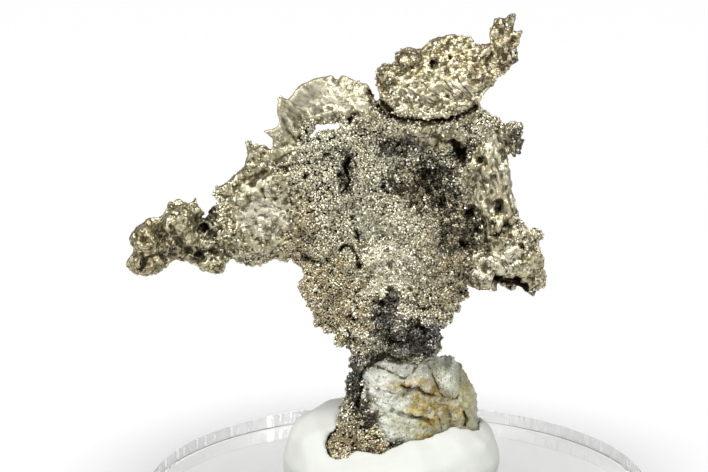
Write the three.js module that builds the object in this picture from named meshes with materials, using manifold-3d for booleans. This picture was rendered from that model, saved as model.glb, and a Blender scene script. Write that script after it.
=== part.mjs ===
// A native silver specimen: a torn, hackly sheet of silver that grew on a block of pale carbonate rock, with
// the rock's foot pressed into a lump of white putty on a clear acrylic disc.
// Millimetres, +Z up, +X to the right, and -Y towards whoever looks at the best face. The origin is the
// centre of the disc's underside.
import * as THREE from "three";
import { ImprovedNoise } from "three/addons/math/ImprovedNoise.js";
import { mergeVertices } from "three/addons/utils/BufferGeometryUtils.js";
import Module from "manifold-3d";

const wasm = await Module();
wasm.setup();

// ---- Driving dimensions ----
const DISC_DIAMETER = 57;
const DISC_THICKNESS = 6;
const DISC_BEVEL = 0.3;
const PUTTY_WIDTH = 24.5;
const PUTTY_MIDDLE_X = -0.8;
const PUTTY_DEPTH = 20;
const PUTTY_HEIGHT = 8.2;
const SEAT_GAP = 0.3; // clearance where rock, silver and putty meet
const TORN_EDGE = 0.6; // thickness of a silver leaf at its rim
const EDGE_TAPER = 3; // how far in from the rim a leaf reaches its full thickness
const SWAY = 2.2; // how far the sheet waves forward and back of a flat plane
const LEAN = 2.6; // how far its top leans back
const KNOB_ROUGHNESS = 0.32; // how far a knob's surface swells and dips, as a share of its size

// ---- Small tools ----
const perlin = new ImprovedNoise();
const { smoothstep, seededRandom } = THREE.MathUtils;

// Two octaves of smooth noise about -1 to 1, with lumps of the given size. Seed picks another pattern.
function lumpiness(x, y, z, size, seed = 0) {
  const a = perlin.noise(x / size + seed, y / size + 0.37, z / size + 0.71);
  const b = perlin.noise((2.1 * x) / size, (2.1 * y) / size + seed, (2.1 * z) / size);
  return a + 0.5 * b;
}

// Moves every vertex of a geometry to where place(x, y, z) says.
function reshape(geometry, place) {
  const vertices = geometry.getAttribute("position");
  for (let i = 0; i < vertices.count; i++)
    vertices.setXYZ(i, ...place(vertices.getX(i), vertices.getY(i), vertices.getZ(i)));
  return geometry;
}

function solidOf(geometry) {
  geometry.deleteAttribute("normal");
  geometry.deleteAttribute("uv");
  const merged = mergeVertices(geometry, 1e-4);
  const mesh = new wasm.Mesh({
    numProp: 3,
    vertProperties: merged.getAttribute("position").array,
    triVerts: new Uint32Array(merged.index.array),
  });
  return new wasm.Manifold(mesh);
}

function meshOf(name, solid, material) {
  const { vertProperties, triVerts } = solid.getMesh();
  const geometry = new THREE.BufferGeometry();
  geometry.setAttribute("position", new THREE.BufferAttribute(vertProperties, 3));
  geometry.setIndex(new THREE.BufferAttribute(triVerts, 1));
  geometry.computeVertexNormals();
  const mesh = new THREE.Mesh(geometry, material);
  mesh.name = name;
  return mesh;
}

const joined = (solids) => solids.reduce((whole, next) => whole.add(next));

// The biggest body of a solid, without the crumbs and specks that cuts leave loose.
const mainBody = (solid) => solid.decompose().sort((a, b) => b.volume() - a.volume())[0];

// Distance from a point to a closed outline of [x, z] points, negative outside it.
function distanceInside(rim, x, z) {
  let nearest = Infinity;
  let inside = false;
  rim.forEach(([ax, az], i) => {
    const [bx, bz] = rim[(i + 1) % rim.length];
    const along = ((x - ax) * (bx - ax) + (z - az) * (bz - az)) / ((bx - ax) ** 2 + (bz - az) ** 2);
    const t = THREE.MathUtils.clamp(along, 0, 1);
    nearest = Math.min(nearest, Math.hypot(x - ax - t * (bx - ax), z - az - t * (bz - az)));
    if (az > z !== bz > z && x < ax + ((z - az) * (bx - ax)) / (bz - az)) inside = !inside;
  });
  return inside ? nearest : -nearest;
}

// A torn leaf of silver. rim is its outline as [x, z] points, middle(x, z) gives the depth of its middle
// surface, and it thickens from the torn edge to full inside. relief is the height of its lumps.
function leaf({ rim, middle, full, relief, cell, seed }) {
  const outline = rim.map(([x, z]) => new THREE.Vector2(x, z));
  const box = new THREE.Box2().setFromPoints(outline).expandByScalar(cell);
  const size = box.getSize(new THREE.Vector2());
  const centre = box.getCenter(new THREE.Vector2());
  const columns = Math.ceil(size.x / cell);
  const rows = Math.ceil(size.y / cell);
  const slab = new THREE.BoxGeometry(size.x, 1, size.y, columns, 1, rows);
  reshape(slab, (gridX, side, gridZ) => {
    const x = centre.x + gridX + 0.45 * cell * perlin.noise(gridX * 1.7 + 0.3, seed + 0.5, gridZ * 1.9);
    const z = centre.y + gridZ + 0.45 * cell * perlin.noise(gridX * 1.9, seed + 7.5, gridZ * 1.7 + 0.3);
    const inner = smoothstep(distanceInside(rim, x, z), 0, EDGE_TAPER);
    const half = (TORN_EDGE + (full - TORN_EDGE) * inner) / 2;
    const bump = relief * (0.25 + 0.75 * inner) * lumpiness(x, 40 * side, z, 3.4, seed);
    return [x, middle(x, z) + Math.sign(side) * Math.max(half + bump, TORN_EDGE / 3), z];
  });
  const reach = 40;
  const cutter = new THREE.ExtrudeGeometry(new THREE.Shape(outline), { depth: reach, bevelEnabled: false });
  cutter.rotateX(Math.PI / 2).translate(0, reach / 2, 0);
  return solidOf(slab).intersect(solidOf(cutter));
}

// A knob: a lumpy, roughly round growth at [x, y, z] with its three half-sizes. grow makes it larger all round.
function knob([x, y, z], [rx, ry, rz], detail = 1, roughness = KNOB_ROUGHNESS, grow = 0) {
  const shape = new THREE.IcosahedronGeometry(1, detail);
  return solidOf(
    reshape(shape, (ux, uy, uz) => {
      const swell = 1 + roughness * lumpiness(ux + x, uy + y, uz + z, 0.9);
      return [x + ux * (rx * swell + grow), y + uy * (ry * swell + grow), z + uz * (rz * swell + grow)];
    }),
  );
}

// A thin pointed tooth or crystal from a root along a direction.
function tooth(root, tip, radius, sides = 5) {
  const from = new THREE.Vector3(...root);
  const along = new THREE.Vector3(...tip).sub(from);
  const spike = new THREE.ConeGeometry(radius, along.length(), sides);
  spike.translate(0, along.length() / 2, 0);
  spike.applyQuaternion(
    new THREE.Quaternion().setFromUnitVectors(new THREE.Vector3(0, 1, 0), along.normalize()),
  );
  spike.translate(from.x, from.y, from.z);
  return solidOf(spike);
}

// ---- Rock: a fractured block of three chunks, each a rounded lump with flat broken faces ----
const ROCK_CHUNKS = [
  {
    centre: [0.2, 0, 15.2],
    half: [6.4, 6, 8],
    detail: 3,
    breaks: [
      { facing: [-0.2, -1, 0.25], at: 4.7 },
      { facing: [0.75, -0.8, 0.35], at: 5.6 },
      { facing: [0.25, -0.55, 1], at: 6.4 },
      { facing: [-0.5, 0.1, 1], at: 6.3 },
      { facing: [-1, -0.15, 0.1], at: 5.0 },
      { facing: [0.1, 1, 0.15], at: 4.9 },
      { facing: [0, 0, -1], at: 6.6 },
    ],
  },
  {
    centre: [6.0, 0.6, 16.4],
    half: [2.8, 4.1, 5.2],
    detail: 2,
    breaks: [
      { facing: [0.2, -1, 0.1], at: 3.3 },
      { facing: [1, -0.2, 0.5], at: 2.3 },
      { facing: [-0.1, -0.3, 1], at: 3.8 },
      { facing: [0.2, 1, 0.2], at: 3.4 },
    ],
  },
  {
    centre: [7.2, 1.2, 13.4],
    half: [2.3, 4.2, 5.3],
    detail: 2,
    breaks: [
      { facing: [1, -0.1, 0.1], at: 1.8 },
      { facing: [0.3, -1, 0.1], at: 3.4 },
      { facing: [0.1, 1, 0.3], at: 3.3 },
      { facing: [0, 0, -1], at: 4.6 },
    ],
  },
];

function rockChunk({ centre: [cx, cy, cz], half: [hx, hy, hz], detail, breaks }, grow) {
  const shape = new THREE.IcosahedronGeometry(1, detail);
  return solidOf(
    reshape(shape, (ux, uy, uz) => {
      const swell = 1 + 0.1 * lumpiness(ux + cx, uy + cy, uz + cz, 0.8);
      const offset = new THREE.Vector3(ux * hx, uy * hy, uz * hz).multiplyScalar(swell);
      offset.addScaledVector(new THREE.Vector3(ux, uy, uz), grow);
      for (const { facing, at } of breaks) {
        const normal = new THREE.Vector3(...facing).normalize();
        const over = offset.dot(normal) - at - grow;
        if (over > 0) offset.addScaledVector(normal, -over);
      }
      return [cx + offset.x, cy + offset.y, cz + offset.z];
    }),
  );
}

const rockBody = (grow = 0) => joined(ROCK_CHUNKS.map((chunk) => rockChunk(chunk, grow)));

// Open joints in the rock's front, each a thin wedge between two points with its depth.
const ROCK_CRACKS = [
  { from: [-4.4, -5.4, 19.6], to: [0.4, -5.6, 18.0], width: 0.35 },
  { from: [0.4, -5.6, 18.0], to: [3.0, -5.0, 19.4], width: 0.35 },
  { from: [-0.6, -5.6, 16.2], to: [3.6, -5.2, 14.9], width: 0.6 },
  { from: [4.9, -4.2, 18.8], to: [5.6, -4.0, 15.0], width: 0.5 },
];

function crack({ from, to, width }) {
  const start = new THREE.Vector3(...from);
  const run = new THREE.Vector3(...to).sub(start);
  const slit = new THREE.BoxGeometry(run.length() + width, 3, width, 3, 1, 1);
  reshape(slit, (x, y, z) => [x, y, z + 0.25 * perlin.noise(x * 0.9 + from[0], 0.5, from[2])]);
  slit.rotateY(-Math.atan2(run.z, run.x));
  slit.translate(start.x + run.x / 2, start.y + run.y / 2, start.z + run.z / 2);
  return solidOf(slit);
}

const rock = ROCK_CRACKS.reduce((block, line) => block.subtract(crack(line)), rockBody());

// ---- Silver: leaves ----
// The main sheet, from the root of the arm at the left to the ribbed column at the right.
const SHEET = {
  rim: [
    [-22, 37.3], [-20.6, 38.8], [-19.8, 39.5], [-20.9, 40.1], [-20.3, 40.8], [-18.7, 41.9],
    [-17.4, 43.4], [-16.8, 45], [-17.2, 46.5], [-15.6, 45.9], [-14, 45.3], [-12.6, 46],
    [-10.4, 46.3], [-9, 47.2], [-6.4, 47.6], [-5.4, 48.9], [-3.7, 49.3], [-2.6, 50.7],
    [-1.4, 51.6], [1.5, 52.6], [6.5, 52.9], [9, 51.4], [9.8, 49.8], [11.5, 48.6],
    [12.0, 44.2], [12.6, 40.6], [13.0, 38.3], [13.9, 36.2], [14.6, 33.8], [12.4, 31.6],
    [9.1, 30.8], [7.6, 29.7], [7.5, 28.1], [6.5, 27.7], [6.8, 26.6], [5.8, 26.3],
    [4.8, 25.3], [4.6, 24.2], [4.9, 22.9], [4, 21.6], [-4.1, 21.6], [-5.2, 22.8],
    [-6.3, 22], [-7.4, 22.8], [-7.3, 24], [-9.4, 24.8], [-9.9, 26.7], [-11.1, 28.4],
    [-10.8, 31.5], [-11.6, 32.4], [-12.3, 32.8], [-15.8, 32.1], [-17.2, 31.6], [-18.4, 32.7],
    [-21.8, 32.3],
  ],
  middle: (x, z) => 0.8 * Math.sin((x + 8) / 6) + 0.003 * (x + 2) ** 2 - 1.3 * smoothstep(z, 45, 51),
  full: 4.2,
  relief: 1.25,
  cell: 2.75,
  seed: 3,
};

// The scalloped leaf at the upper left, thin enough to leave a slot of daylight under it.
const LEFT_LEAF = {
  rim: [
    [-14.2, 44.9], [-14.1, 46.9], [-15.1, 47.6], [-13.4, 48.1], [-13.6, 50.2], [-13.2, 51.8],
    [-12.5, 51], [-11.1, 52.6], [-8.8, 53.7], [-7.5, 53.9], [-7, 53.2], [-6.3, 53.9],
    [-4.9, 53.4], [-3.6, 53], [-2.9, 51.7], [-2.4, 50.6], [-3.2, 49.6], [-4.5, 49],
    [-6, 48.8], [-8.9, 48.5], [-9.6, 47.2], [-10.6, 45.8], [-12.4, 44.6],
  ],
  middle: (x, z) => -0.1 + 0.16 * (z - 49) + 0.5 * Math.sin(x / 2.2),
  full: 1.3,
  relief: 0.35,
  cell: 1.9,
  seed: 11,
};

// The oval leaf at the top, which overlaps the front of the main sheet.
const RIGHT_LEAF = {
  rim: [
    [-2, 50.8], [-2.4, 52.9], [-2.6, 54.8], [-1.9, 55.4], [-0.7, 55.4], [-0.3, 56.6],
    [1, 57.4], [2.5, 56.8], [3.2, 57.8], [5.7, 58.8], [7.8, 58.3], [8.6, 57.3],
    [10.2, 57.8], [11.2, 55], [10.4, 53.2], [9.5, 52.3], [9.1, 51.2], [8, 50.4],
    [5.7, 49.4], [3.5, 49.1], [0.7, 49.5], [-1, 50],
  ],
  middle: (x, z) => -1.1 + 0.16 * (z - 53) - 0.015 * (x - 4) ** 2,
  full: 2.6,
  relief: 0.55,
  cell: 1.95,
  seed: 19,
};

const HORN = {
  rim: [
    [9.6, 54], [9.9, 57.7], [10.2, 59.6], [10.7, 60.5], [11.9, 60.6], [12.9, 61.2],
    [13.1, 60.3], [12.8, 59], [13.8, 59], [13.2, 57.4], [12.9, 55.6], [12.1, 54.6],
    [11, 53.4],
  ],
  middle: (x, z) => -0.4 + 0.3 * Math.sin(z * 1.1),
  full: 3.2,
  relief: 0.5,
  cell: 1.65,
  seed: 23,
};

// The draped, ribbed column that stands forward at the right.
const COLUMN = {
  rim: [
    [8.6, 48.2], [9.7, 49.6], [11.3, 48.8], [12.2, 46.5], [12.0, 44.2], [12.5, 41.3],
    [13.0, 38.3], [14.1, 36.2], [13.8, 32.6], [11.3, 32.2], [9.6, 36], [8.8, 39.8],
    [8.2, 44.2],
  ],
  middle: (x, z) => -1.1 + 0.4 * Math.sin(1.9 * x + 0.25 * z) - 0.03 * (44 - z),
  full: 4,
  relief: 0.45,
  cell: 1.7,
  seed: 29,
};

// The foot at the lower right, a shelf of silver that stands out over a hollow.
const FOOT = {
  rim: [
    [7.6, 32.2], [9.1, 33.7], [11.3, 34], [13.6, 34.9], [14.3, 36.3], [15.3, 36.8],
    [15.8, 36.1], [15.5, 34.5], [16, 32.4], [16.6, 30.4], [16.2, 29.2], [15.6, 28.9],
    [14.6, 29.7], [13.8, 30.4], [11.9, 31.3], [10.9, 30.8], [10.5, 29.5], [9.5, 29.6],
    [8.4, 30.2], [7.5, 31],
  ],
  middle: (x, z) => -2.5 + 0.35 * Math.sin(2.1 * x) + 0.12 * (z - 31),
  full: 3.2,
  relief: 0.6,
  cell: 1.75,
  seed: 31,
};

const FOOT_BACK = {
  rim: [[9.6, 33.4], [14.8, 33.4], [14.9, 30.2], [14.1, 29.3], [12.6, 28.9], [11.3, 29.5], [10.2, 30.6]],
  middle: () => 1.4,
  full: 2.4,
  relief: 0.3,
  cell: 2,
  seed: 37,
};

// The knotted arm that runs out to the left.
const ARM = {
  rim: [
    [-30.5, 32.2], [-29.9, 35.4], [-28.2, 37.1], [-26.4, 37.4], [-25.8, 38.9], [-24.6, 39.4],
    [-23.7, 38.8], [-22.8, 39.6], [-22.2, 38.3], [-21.6, 37.4], [-19.5, 37.8], [-18, 34],
    [-18.4, 32.6], [-19.3, 32.8], [-19.5, 31.7], [-20.6, 31.3], [-21.8, 31], [-23.4, 31.8],
    [-23.8, 32.2], [-25.3, 32.1], [-26.1, 31.1], [-27, 30.5], [-28.3, 30.2], [-29.5, 30.7],
    [-30.4, 31.4],
  ],
  middle: (x, z) => 0.9 + 0.5 * Math.sin(x * 0.9) + 0.06 * (x + 24),
  full: 3.4,
  relief: 0.75,
  cell: 2.0,
  seed: 41,
};

// ---- Silver: knobs, as [centre, half-sizes, detail] ----
const ARM_KNOBS = [
  [[-28.4, -0.3, 35.0], [1.8, 2.1, 1.8], 1],
  [[-28.3, 0.1, 32.1], [2.1, 2.1, 1.7], 1],
  [[-24.6, -0.2, 37.0], [1.8, 2.0, 1.9], 1],
  [[-20.9, -0.8, 32.4], [1.6, 1.2, 1.2], 1],
];

const NECK_KNOBS = [
  [[0.2, -1.4, 24.4], [4.2, 3.3, 2.9], 2],
  [[2.9, -0.3, 23.3], [2.5, 3.5, 2.3], 1],
  [[-2.6, 0.2, 23.6], [3.1, 3.3, 2.4], 1],
  [[-6.2, -0.2, 23.3], [1.2, 1.5, 1.2], 1],
  [[4.6, -0.6, 26.2], [1.8, 2.0, 1.4], 1],
];

const EDGE_KNOBS = [
  [[12.4, -0.8, 47.4], [1.5, 1.8, 1.6], 0],
  [[12.6, -0.2, 45.9], [1.2, 1.5, 1.2], 0],
  [[-1.4, -1.6, 54.3], [1.4, 1.5, 1.4], 0],
  [[1.0, -1.4, 56.2], [1.6, 1.4, 1.3], 0],
  [[5.6, -1.0, 28.6], [1.4, 1.6, 1.3], 1],
  [[-10.3, 0.3, 29.4], [1.2, 1.7, 1.9], 0],
];

const BACK_KNOBS = [
  [[-6.5, 2.6, 38.5], [4.6, 2.2, 3.4], 1],
  [[3.5, 3.0, 32.0], [3.8, 2.4, 4.6], 1],
  [[8.0, 2.4, 43.0], [2.6, 2.3, 4.2], 1],
  [[-14.0, 1.8, 36.0], [3.2, 1.8, 1.9], 1],
];

// The crust that runs down the rock's left side into the putty.
const CRUST_KNOBS = [
  [[-4.3, -0.5, 21.4], [1.4, 2.5, 2.3], 1],
  [[-4.8, -0.9, 17.6], [1.3, 3.1, 2.4], 1],
  [[-5.0, -1.7, 14.6], [1.9, 3.6, 2.4], 1],
  [[-5.8, -2.6, 11.4], [2.5, 3.4, 2.4], 1],
  [[-3.0, -4.4, 12.2], [2.3, 1.5, 2.9], 1],
];

const knobs = (list, grow = 0) => list.map(([at, size, detail]) => knob(at, size, detail, KNOB_ROUGHNESS, grow));

// ---- Silver: teeth on the torn rims ----
const TEETH = [
  { root: [-16.4, 0.6, 44.8], tip: [-17.3, 0.4, 46.7], radius: 0.55 },
  { root: [-13.9, -0.2, 47.4], tip: [-15.6, -0.4, 47.7], radius: 0.4 },
  { root: [-13.1, 0.3, 50.4], tip: [-13.3, 0.4, 52.1], radius: 0.45 },
  { root: [-20.0, 0.6, 40.3], tip: [-21.2, 0.4, 40.2], radius: 0.45 },
  { root: [-22.8, 0.2, 38.4], tip: [-22.5, 0.0, 39.8], radius: 0.45 },
  { root: [15.2, -2.2, 36.0], tip: [15.7, -2.4, 37.1], radius: 0.5 },
  { root: [12.6, -0.6, 60.4], tip: [13.2, -0.6, 61.0], radius: 0.45 },
  { root: [12.9, -0.7, 58.5], tip: [14.0, -0.9, 59.4], radius: 0.45 },
];

// ---- Silver: pits and hollows, each with its middle, radius and depth, cut from the front ----
const frontOf = ({ rim, middle, full }, x, z) => {
  const inner = smoothstep(distanceInside(rim, x, z), 0, EDGE_TAPER);
  return middle(x, z) - (TORN_EDGE + (full - TORN_EDGE) * inner) / 2;
};

const PITS = [
  { on: SHEET, x: 3.6, z: 41.8, radius: 2.3, deep: 1.3 },
  { on: SHEET, x: 5.6, z: 39.0, radius: 1.5, deep: 1.4 },
  { on: SHEET, x: 0.6, z: 46.0, radius: 1.5, deep: 1.0 },
  { on: SHEET, x: 8.0, z: 38.0, radius: 1.3, deep: 1.4 },
  { on: SHEET, x: 7.3, z: 34.8, radius: 1.0, deep: 1.3 },
  { on: SHEET, x: -4.6, z: 32.5, radius: 0.8, deep: 1.2 },
  { on: SHEET, x: -0.8, z: 28.0, radius: 1.5, deep: 1.5 },
  { on: SHEET, x: -13.9, z: 40.3, radius: 0.6, deep: 0.9 },
  { on: COLUMN, x: 11.1, z: 39.6, radius: 0.7, deep: 1.2 },
  { on: RIGHT_LEAF, x: 3.8, z: 55.6, radius: 0.5, deep: 1.2 },
  { on: RIGHT_LEAF, x: 5.3, z: 51.9, radius: 0.5, deep: 0.9 },
  { on: HORN, x: 12.0, z: 59.6, radius: 0.4, deep: 0.9 },
  { on: ARM, x: -22.0, z: 36.2, radius: 0.8, deep: 1.2 },
];

const pit = ({ on, x, z, radius, deep }) =>
  knob([x, frontOf(on, x, z), z], [radius, deep + 0.3, radius], radius < 1.2 ? 0 : 1, 0.3);

// ---- Silver: small crystals that stand out of both faces, placed by a seeded walk over the sheet ----
const CRYSTALS = 16;

function crystals() {
  const made = [];
  seededRandom(7);
  while (made.length < CRYSTALS) {
    const x = -18 + 31 * seededRandom();
    const z = 24 + 26 * seededRandom();
    const radius = 0.55 + 0.45 * seededRandom();
    const turn = new THREE.Euler(6 * seededRandom(), 6 * seededRandom(), 6 * seededRandom());
    if (distanceInside(SHEET.rim, x, z) < 1.5) continue;
    const front = frontOf(SHEET, x, z);
    const face = made.length % 2 ? front : 2 * SHEET.middle(x, z) - front;
    const crystal = new THREE.OctahedronGeometry(radius, 0);
    crystal.applyMatrix4(new THREE.Matrix4().makeRotationFromEuler(turn));
    made.push(solidOf(crystal.translate(x, face, z)));
  }
  return made;
}

// The grown sheet isn't flat: it waves along its width, its arm curls forward and its top leans back. The
// foot on the rock stays put. Points move along the line of sight of an eye that looks down a little.
const SIGHT_DROP = Math.tan(THREE.MathUtils.degToRad(16));
const WAVE_START = -22;
const WAVE_LENGTH = 7; // divided by a radian
const WAVES_ABOVE = [25, 36];
const LEANS_ABOVE = [48, 62];

function swayed(solid) {
  const { vertProperties, triVerts } = solid.getMesh();
  for (let i = 0; i < vertProperties.length; i += 3) {
    const x = vertProperties[i];
    const z = vertProperties[i + 2];
    const wave = SWAY * Math.sin((x - WAVE_START) / WAVE_LENGTH) * smoothstep(z, ...WAVES_ABOVE);
    const shift = wave + LEAN * smoothstep(z, ...LEANS_ABOVE);
    vertProperties[i + 1] += shift;
    vertProperties[i + 2] -= shift * SIGHT_DROP;
  }
  return new wasm.Manifold(new wasm.Mesh({ numProp: 3, vertProperties, triVerts }));
}

function silverSolid() {
  const leaves = [SHEET, LEFT_LEAF, RIGHT_LEAF, HORN, COLUMN, FOOT, FOOT_BACK, ARM].map(leaf);
  const growths = knobs([...ARM_KNOBS, ...NECK_KNOBS, ...EDGE_KNOBS, ...BACK_KNOBS, ...CRUST_KNOBS]);
  const teeth = TEETH.map(({ root, tip, radius }) => tooth(root, tip, radius));
  const grown = joined([...leaves, ...growths, ...teeth, ...crystals()]);
  const pitted = PITS.reduce((body, hole) => body.subtract(pit(hole)), grown);
  return mainBody(swayed(pitted).subtract(rockBody(SEAT_GAP)));
}

// ---- Putty: a thumbed lump with the specimen's foot pressed into it ----
function puttyLump() {
  const profile = new THREE.SplineCurve([
    new THREE.Vector2(0, 1),
    new THREE.Vector2(0.45, 1.0),
    new THREE.Vector2(0.75, 0.9),
    new THREE.Vector2(0.93, 0.68),
    new THREE.Vector2(1, 0.38),
    new THREE.Vector2(0.97, 0.1),
    new THREE.Vector2(0.93, 0),
  ]).getPoints(6);
  profile[0].x = 0;
  profile.push(new THREE.Vector2(0, 0));
  const lump = new THREE.LatheGeometry(profile.reverse(), 22).rotateX(Math.PI / 2);
  return solidOf(
    reshape(lump, (ux, uy, uz) => {
      const side = 1 + 0.06 * lumpiness(1.4 * ux, 1.4 * uy, uz, 1, 5);
      const shoulder = 0.13 * smoothstep(uy, -0.2, 0.6) + 0.1 * smoothstep(Math.abs(ux), 0.5, 0.9);
      const lip = 0.2 * smoothstep(-uy, 0.3, 0.8) * (1 - smoothstep(Math.abs(ux), 0.35, 0.95));
      const notch = 0.22 * smoothstep(-uy, 0.15, 0.6) * (1 - smoothstep(Math.abs(ux + 0.35), 0.25, 0.55));
      const rise = uz > 0 ? 1 + shoulder - lip - notch + 0.04 * lumpiness(2 * ux, 2 * uy, 0, 1, 9) : 1;
      return [
        PUTTY_MIDDLE_X + (ux * side * PUTTY_WIDTH) / 2,
        (uy * side * PUTTY_DEPTH) / 2,
        DISC_THICKNESS + uz * rise * PUTTY_HEIGHT,
      ];
    }),
  );
}

const putty = puttyLump()
  .subtract(rockBody(SEAT_GAP))
  .subtract(joined(knobs(CRUST_KNOBS, SEAT_GAP)));

// ---- Disc: clear acrylic, turned and polished, with a small bevel at both edges ----
function discGeometry() {
  const radius = DISC_DIAMETER / 2;
  const profile = [
    new THREE.Vector2(0, 0),
    new THREE.Vector2(radius - DISC_BEVEL, 0),
    new THREE.Vector2(radius, DISC_BEVEL),
    new THREE.Vector2(radius, DISC_THICKNESS - DISC_BEVEL),
    new THREE.Vector2(radius - DISC_BEVEL, DISC_THICKNESS),
    new THREE.Vector2(0, DISC_THICKNESS),
  ];
  return new THREE.LatheGeometry(profile, 36).rotateX(Math.PI / 2);
}

// ---- Materials ----
const silverMaterial = new THREE.MeshStandardMaterial({ color: "#b9b2a0", roughness: 0.35, metalness: 1 });
const rockMaterial = new THREE.MeshStandardMaterial({ color: "#b3b4a8", roughness: 0.85, metalness: 0 });
const puttyMaterial = new THREE.MeshStandardMaterial({ color: "#e9eae6", roughness: 0.7, metalness: 0 });
const acrylicMaterial = new THREE.MeshStandardMaterial({
  color: "#f4f6f6",
  roughness: 0.05,
  metalness: 0,
  transparent: true,
  opacity: 0.35,
});

// ---- The specimen ----
const specimen = new THREE.Group();
const disc = new THREE.Mesh(discGeometry(), acrylicMaterial);
disc.name = "acrylic_disc";
specimen.add(
  meshOf("native_silver", silverSolid(), silverMaterial),
  meshOf("rock_matrix", rock, rockMaterial),
  meshOf("putty", putty, puttyMaterial),
  disc,
);

export default specimen;
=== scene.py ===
# A native silver specimen on its carbonate rock, held upright by white putty on a clear acrylic disc.
# Lengths are metres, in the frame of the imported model: +Z up, +X right, -Y towards whoever looks at it.
from math import radians, sin, cos
import bpy
import numpy as np
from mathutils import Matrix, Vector, noise


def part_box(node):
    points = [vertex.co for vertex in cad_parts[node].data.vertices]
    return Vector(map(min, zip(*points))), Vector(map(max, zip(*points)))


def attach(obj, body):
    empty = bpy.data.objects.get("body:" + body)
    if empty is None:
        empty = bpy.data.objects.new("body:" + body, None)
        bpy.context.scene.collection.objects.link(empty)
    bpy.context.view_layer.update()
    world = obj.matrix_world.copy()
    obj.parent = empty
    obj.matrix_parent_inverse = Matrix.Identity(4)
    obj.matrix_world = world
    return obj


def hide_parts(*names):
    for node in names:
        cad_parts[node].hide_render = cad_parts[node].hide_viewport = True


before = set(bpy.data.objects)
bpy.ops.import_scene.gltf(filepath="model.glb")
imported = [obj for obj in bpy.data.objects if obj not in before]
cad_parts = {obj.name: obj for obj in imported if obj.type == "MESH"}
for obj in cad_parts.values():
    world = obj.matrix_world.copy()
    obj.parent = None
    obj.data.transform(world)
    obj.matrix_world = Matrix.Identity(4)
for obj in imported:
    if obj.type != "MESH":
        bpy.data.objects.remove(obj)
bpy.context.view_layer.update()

MM = 0.001

# ---- Camera ----
# It looks at the best face from a little above, from far enough away that the sheet keeps its true outline.
CAMERA_RISE = radians(16)
CAMERA_DISTANCE = 420 * MM
VIEW_WIDTH = 79.3 * MM  # what the frame spans at the specimen
VIEW_CENTRE = (-5.04 * MM, 0, 35.36 * MM)
SENSOR = 36

bpy.ops.object.camera_add(
    location=(
        VIEW_CENTRE[0],
        -CAMERA_DISTANCE * cos(CAMERA_RISE),
        VIEW_CENTRE[2] + CAMERA_DISTANCE * sin(CAMERA_RISE),
    ),
    rotation=(radians(90) - CAMERA_RISE, 0, 0),
)
camera = bpy.context.object
camera.name = "camera"
camera.data.sensor_width = SENSOR
camera.data.lens = SENSOR * CAMERA_DISTANCE / VIEW_WIDTH
camera.data.clip_start = 0.01
bpy.context.scene.camera = camera
bpy.context.scene.view_settings.view_transform = "Standard"


# ---- Floor and backdrop ----
# A white sweep of matt card that curves up behind the specimen, lit from behind so that it stays almost pure
# white. It stops a hair below the disc.
def linear(hex_colour):
    channels = [int(hex_colour[i : i + 2], 16) / 255 for i in (1, 3, 5)]
    return [c / 12.92 if c <= 0.04045 else ((c + 0.055) / 1.055) ** 2.4 for c in channels] + [1]


def new_material(name):
    material = bpy.data.materials.new(name)
    material.use_nodes = True
    return material.node_tree, material.node_tree.nodes["Principled BSDF"]


def add_node(tree, kind, settings=None, values=None, links=None):
    """Adds a node: settings are its properties, values its unlinked sockets, links its inputs from others."""
    node = tree.nodes.new(kind)
    for key, value in (settings or {}).items():
        setattr(node, key, value)
    for key, value in (values or {}).items():
        node.inputs[key].default_value = value
    for key, source in (links or {}).items():
        tree.links.new(source, node.inputs[key])
    return node


def deselect_all():
    bpy.ops.object.select_all(action="DESELECT")


def apply_modifiers(piece):
    deselect_all()
    piece.select_set(True)
    bpy.context.view_layer.objects.active = piece
    for modifier in list(piece.modifiers):
        bpy.ops.object.modifier_apply(modifier=modifier.name)


SWEEP_WIDTH = 2.2
SWEEP_FRONT = -0.8
SWEEP_BACK = 0.9
SWEEP_HEIGHT = 1.2
SWEEP_BEND = 0.25
SWEEP_DROP = 0.02 * MM
CARD_GLOW_SEEN = (0.26, 0.88)  # close to the disc, and away from it
CARD_GLOW_MIRRORED = 0.25
CARD_GLOW_THROUGH_DISC = 0.48
CARD_GLOW_ON_MATT = 0.55
HALO = (6.6 * MM, 46 * MM)  # the disc's soft shadow greys the card behind it
HALO_CENTRE = (-1.3 * MM, 14.2 * MM, 0)
CARD_SEEN = 0.12  # how much of the lamps' light the card itself sends to the camera

deselect_all()
bpy.ops.mesh.primitive_plane_add(size=1, location=(0, 0, 0))
sweep = bpy.context.object
sweep.name = "paper_sweep"
sweep.scale = (SWEEP_WIDTH, SWEEP_BACK - SWEEP_FRONT, 1)
sweep.location = (0, (SWEEP_FRONT + SWEEP_BACK) / 2, -SWEEP_DROP)
bpy.ops.object.transform_apply(location=True, scale=True)
for face in sweep.data.polygons:
    face.select = False
for edge in sweep.data.edges:
    edge.select = all(sweep.data.vertices[i].co.y > 0 for i in edge.vertices)
for vertex in sweep.data.vertices:
    vertex.select = vertex.co.y > 0
bpy.ops.object.mode_set(mode="EDIT")
bpy.ops.mesh.select_mode(type="EDGE")
bpy.ops.mesh.extrude_region_move(TRANSFORM_OT_translate={"value": (0, 0, SWEEP_HEIGHT)})
bpy.ops.mesh.select_all(action="DESELECT")
bpy.ops.object.mode_set(mode="OBJECT")
for edge in sweep.data.edges:
    ends = [sweep.data.vertices[i].co for i in edge.vertices]
    edge.select = all(end.y > 0 and end.z < 0.01 for end in ends)
bpy.ops.object.mode_set(mode="EDIT")
bpy.ops.mesh.bevel(offset=SWEEP_BEND, segments=16)
bpy.ops.object.mode_set(mode="OBJECT")
bpy.ops.object.shade_smooth()

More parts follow.
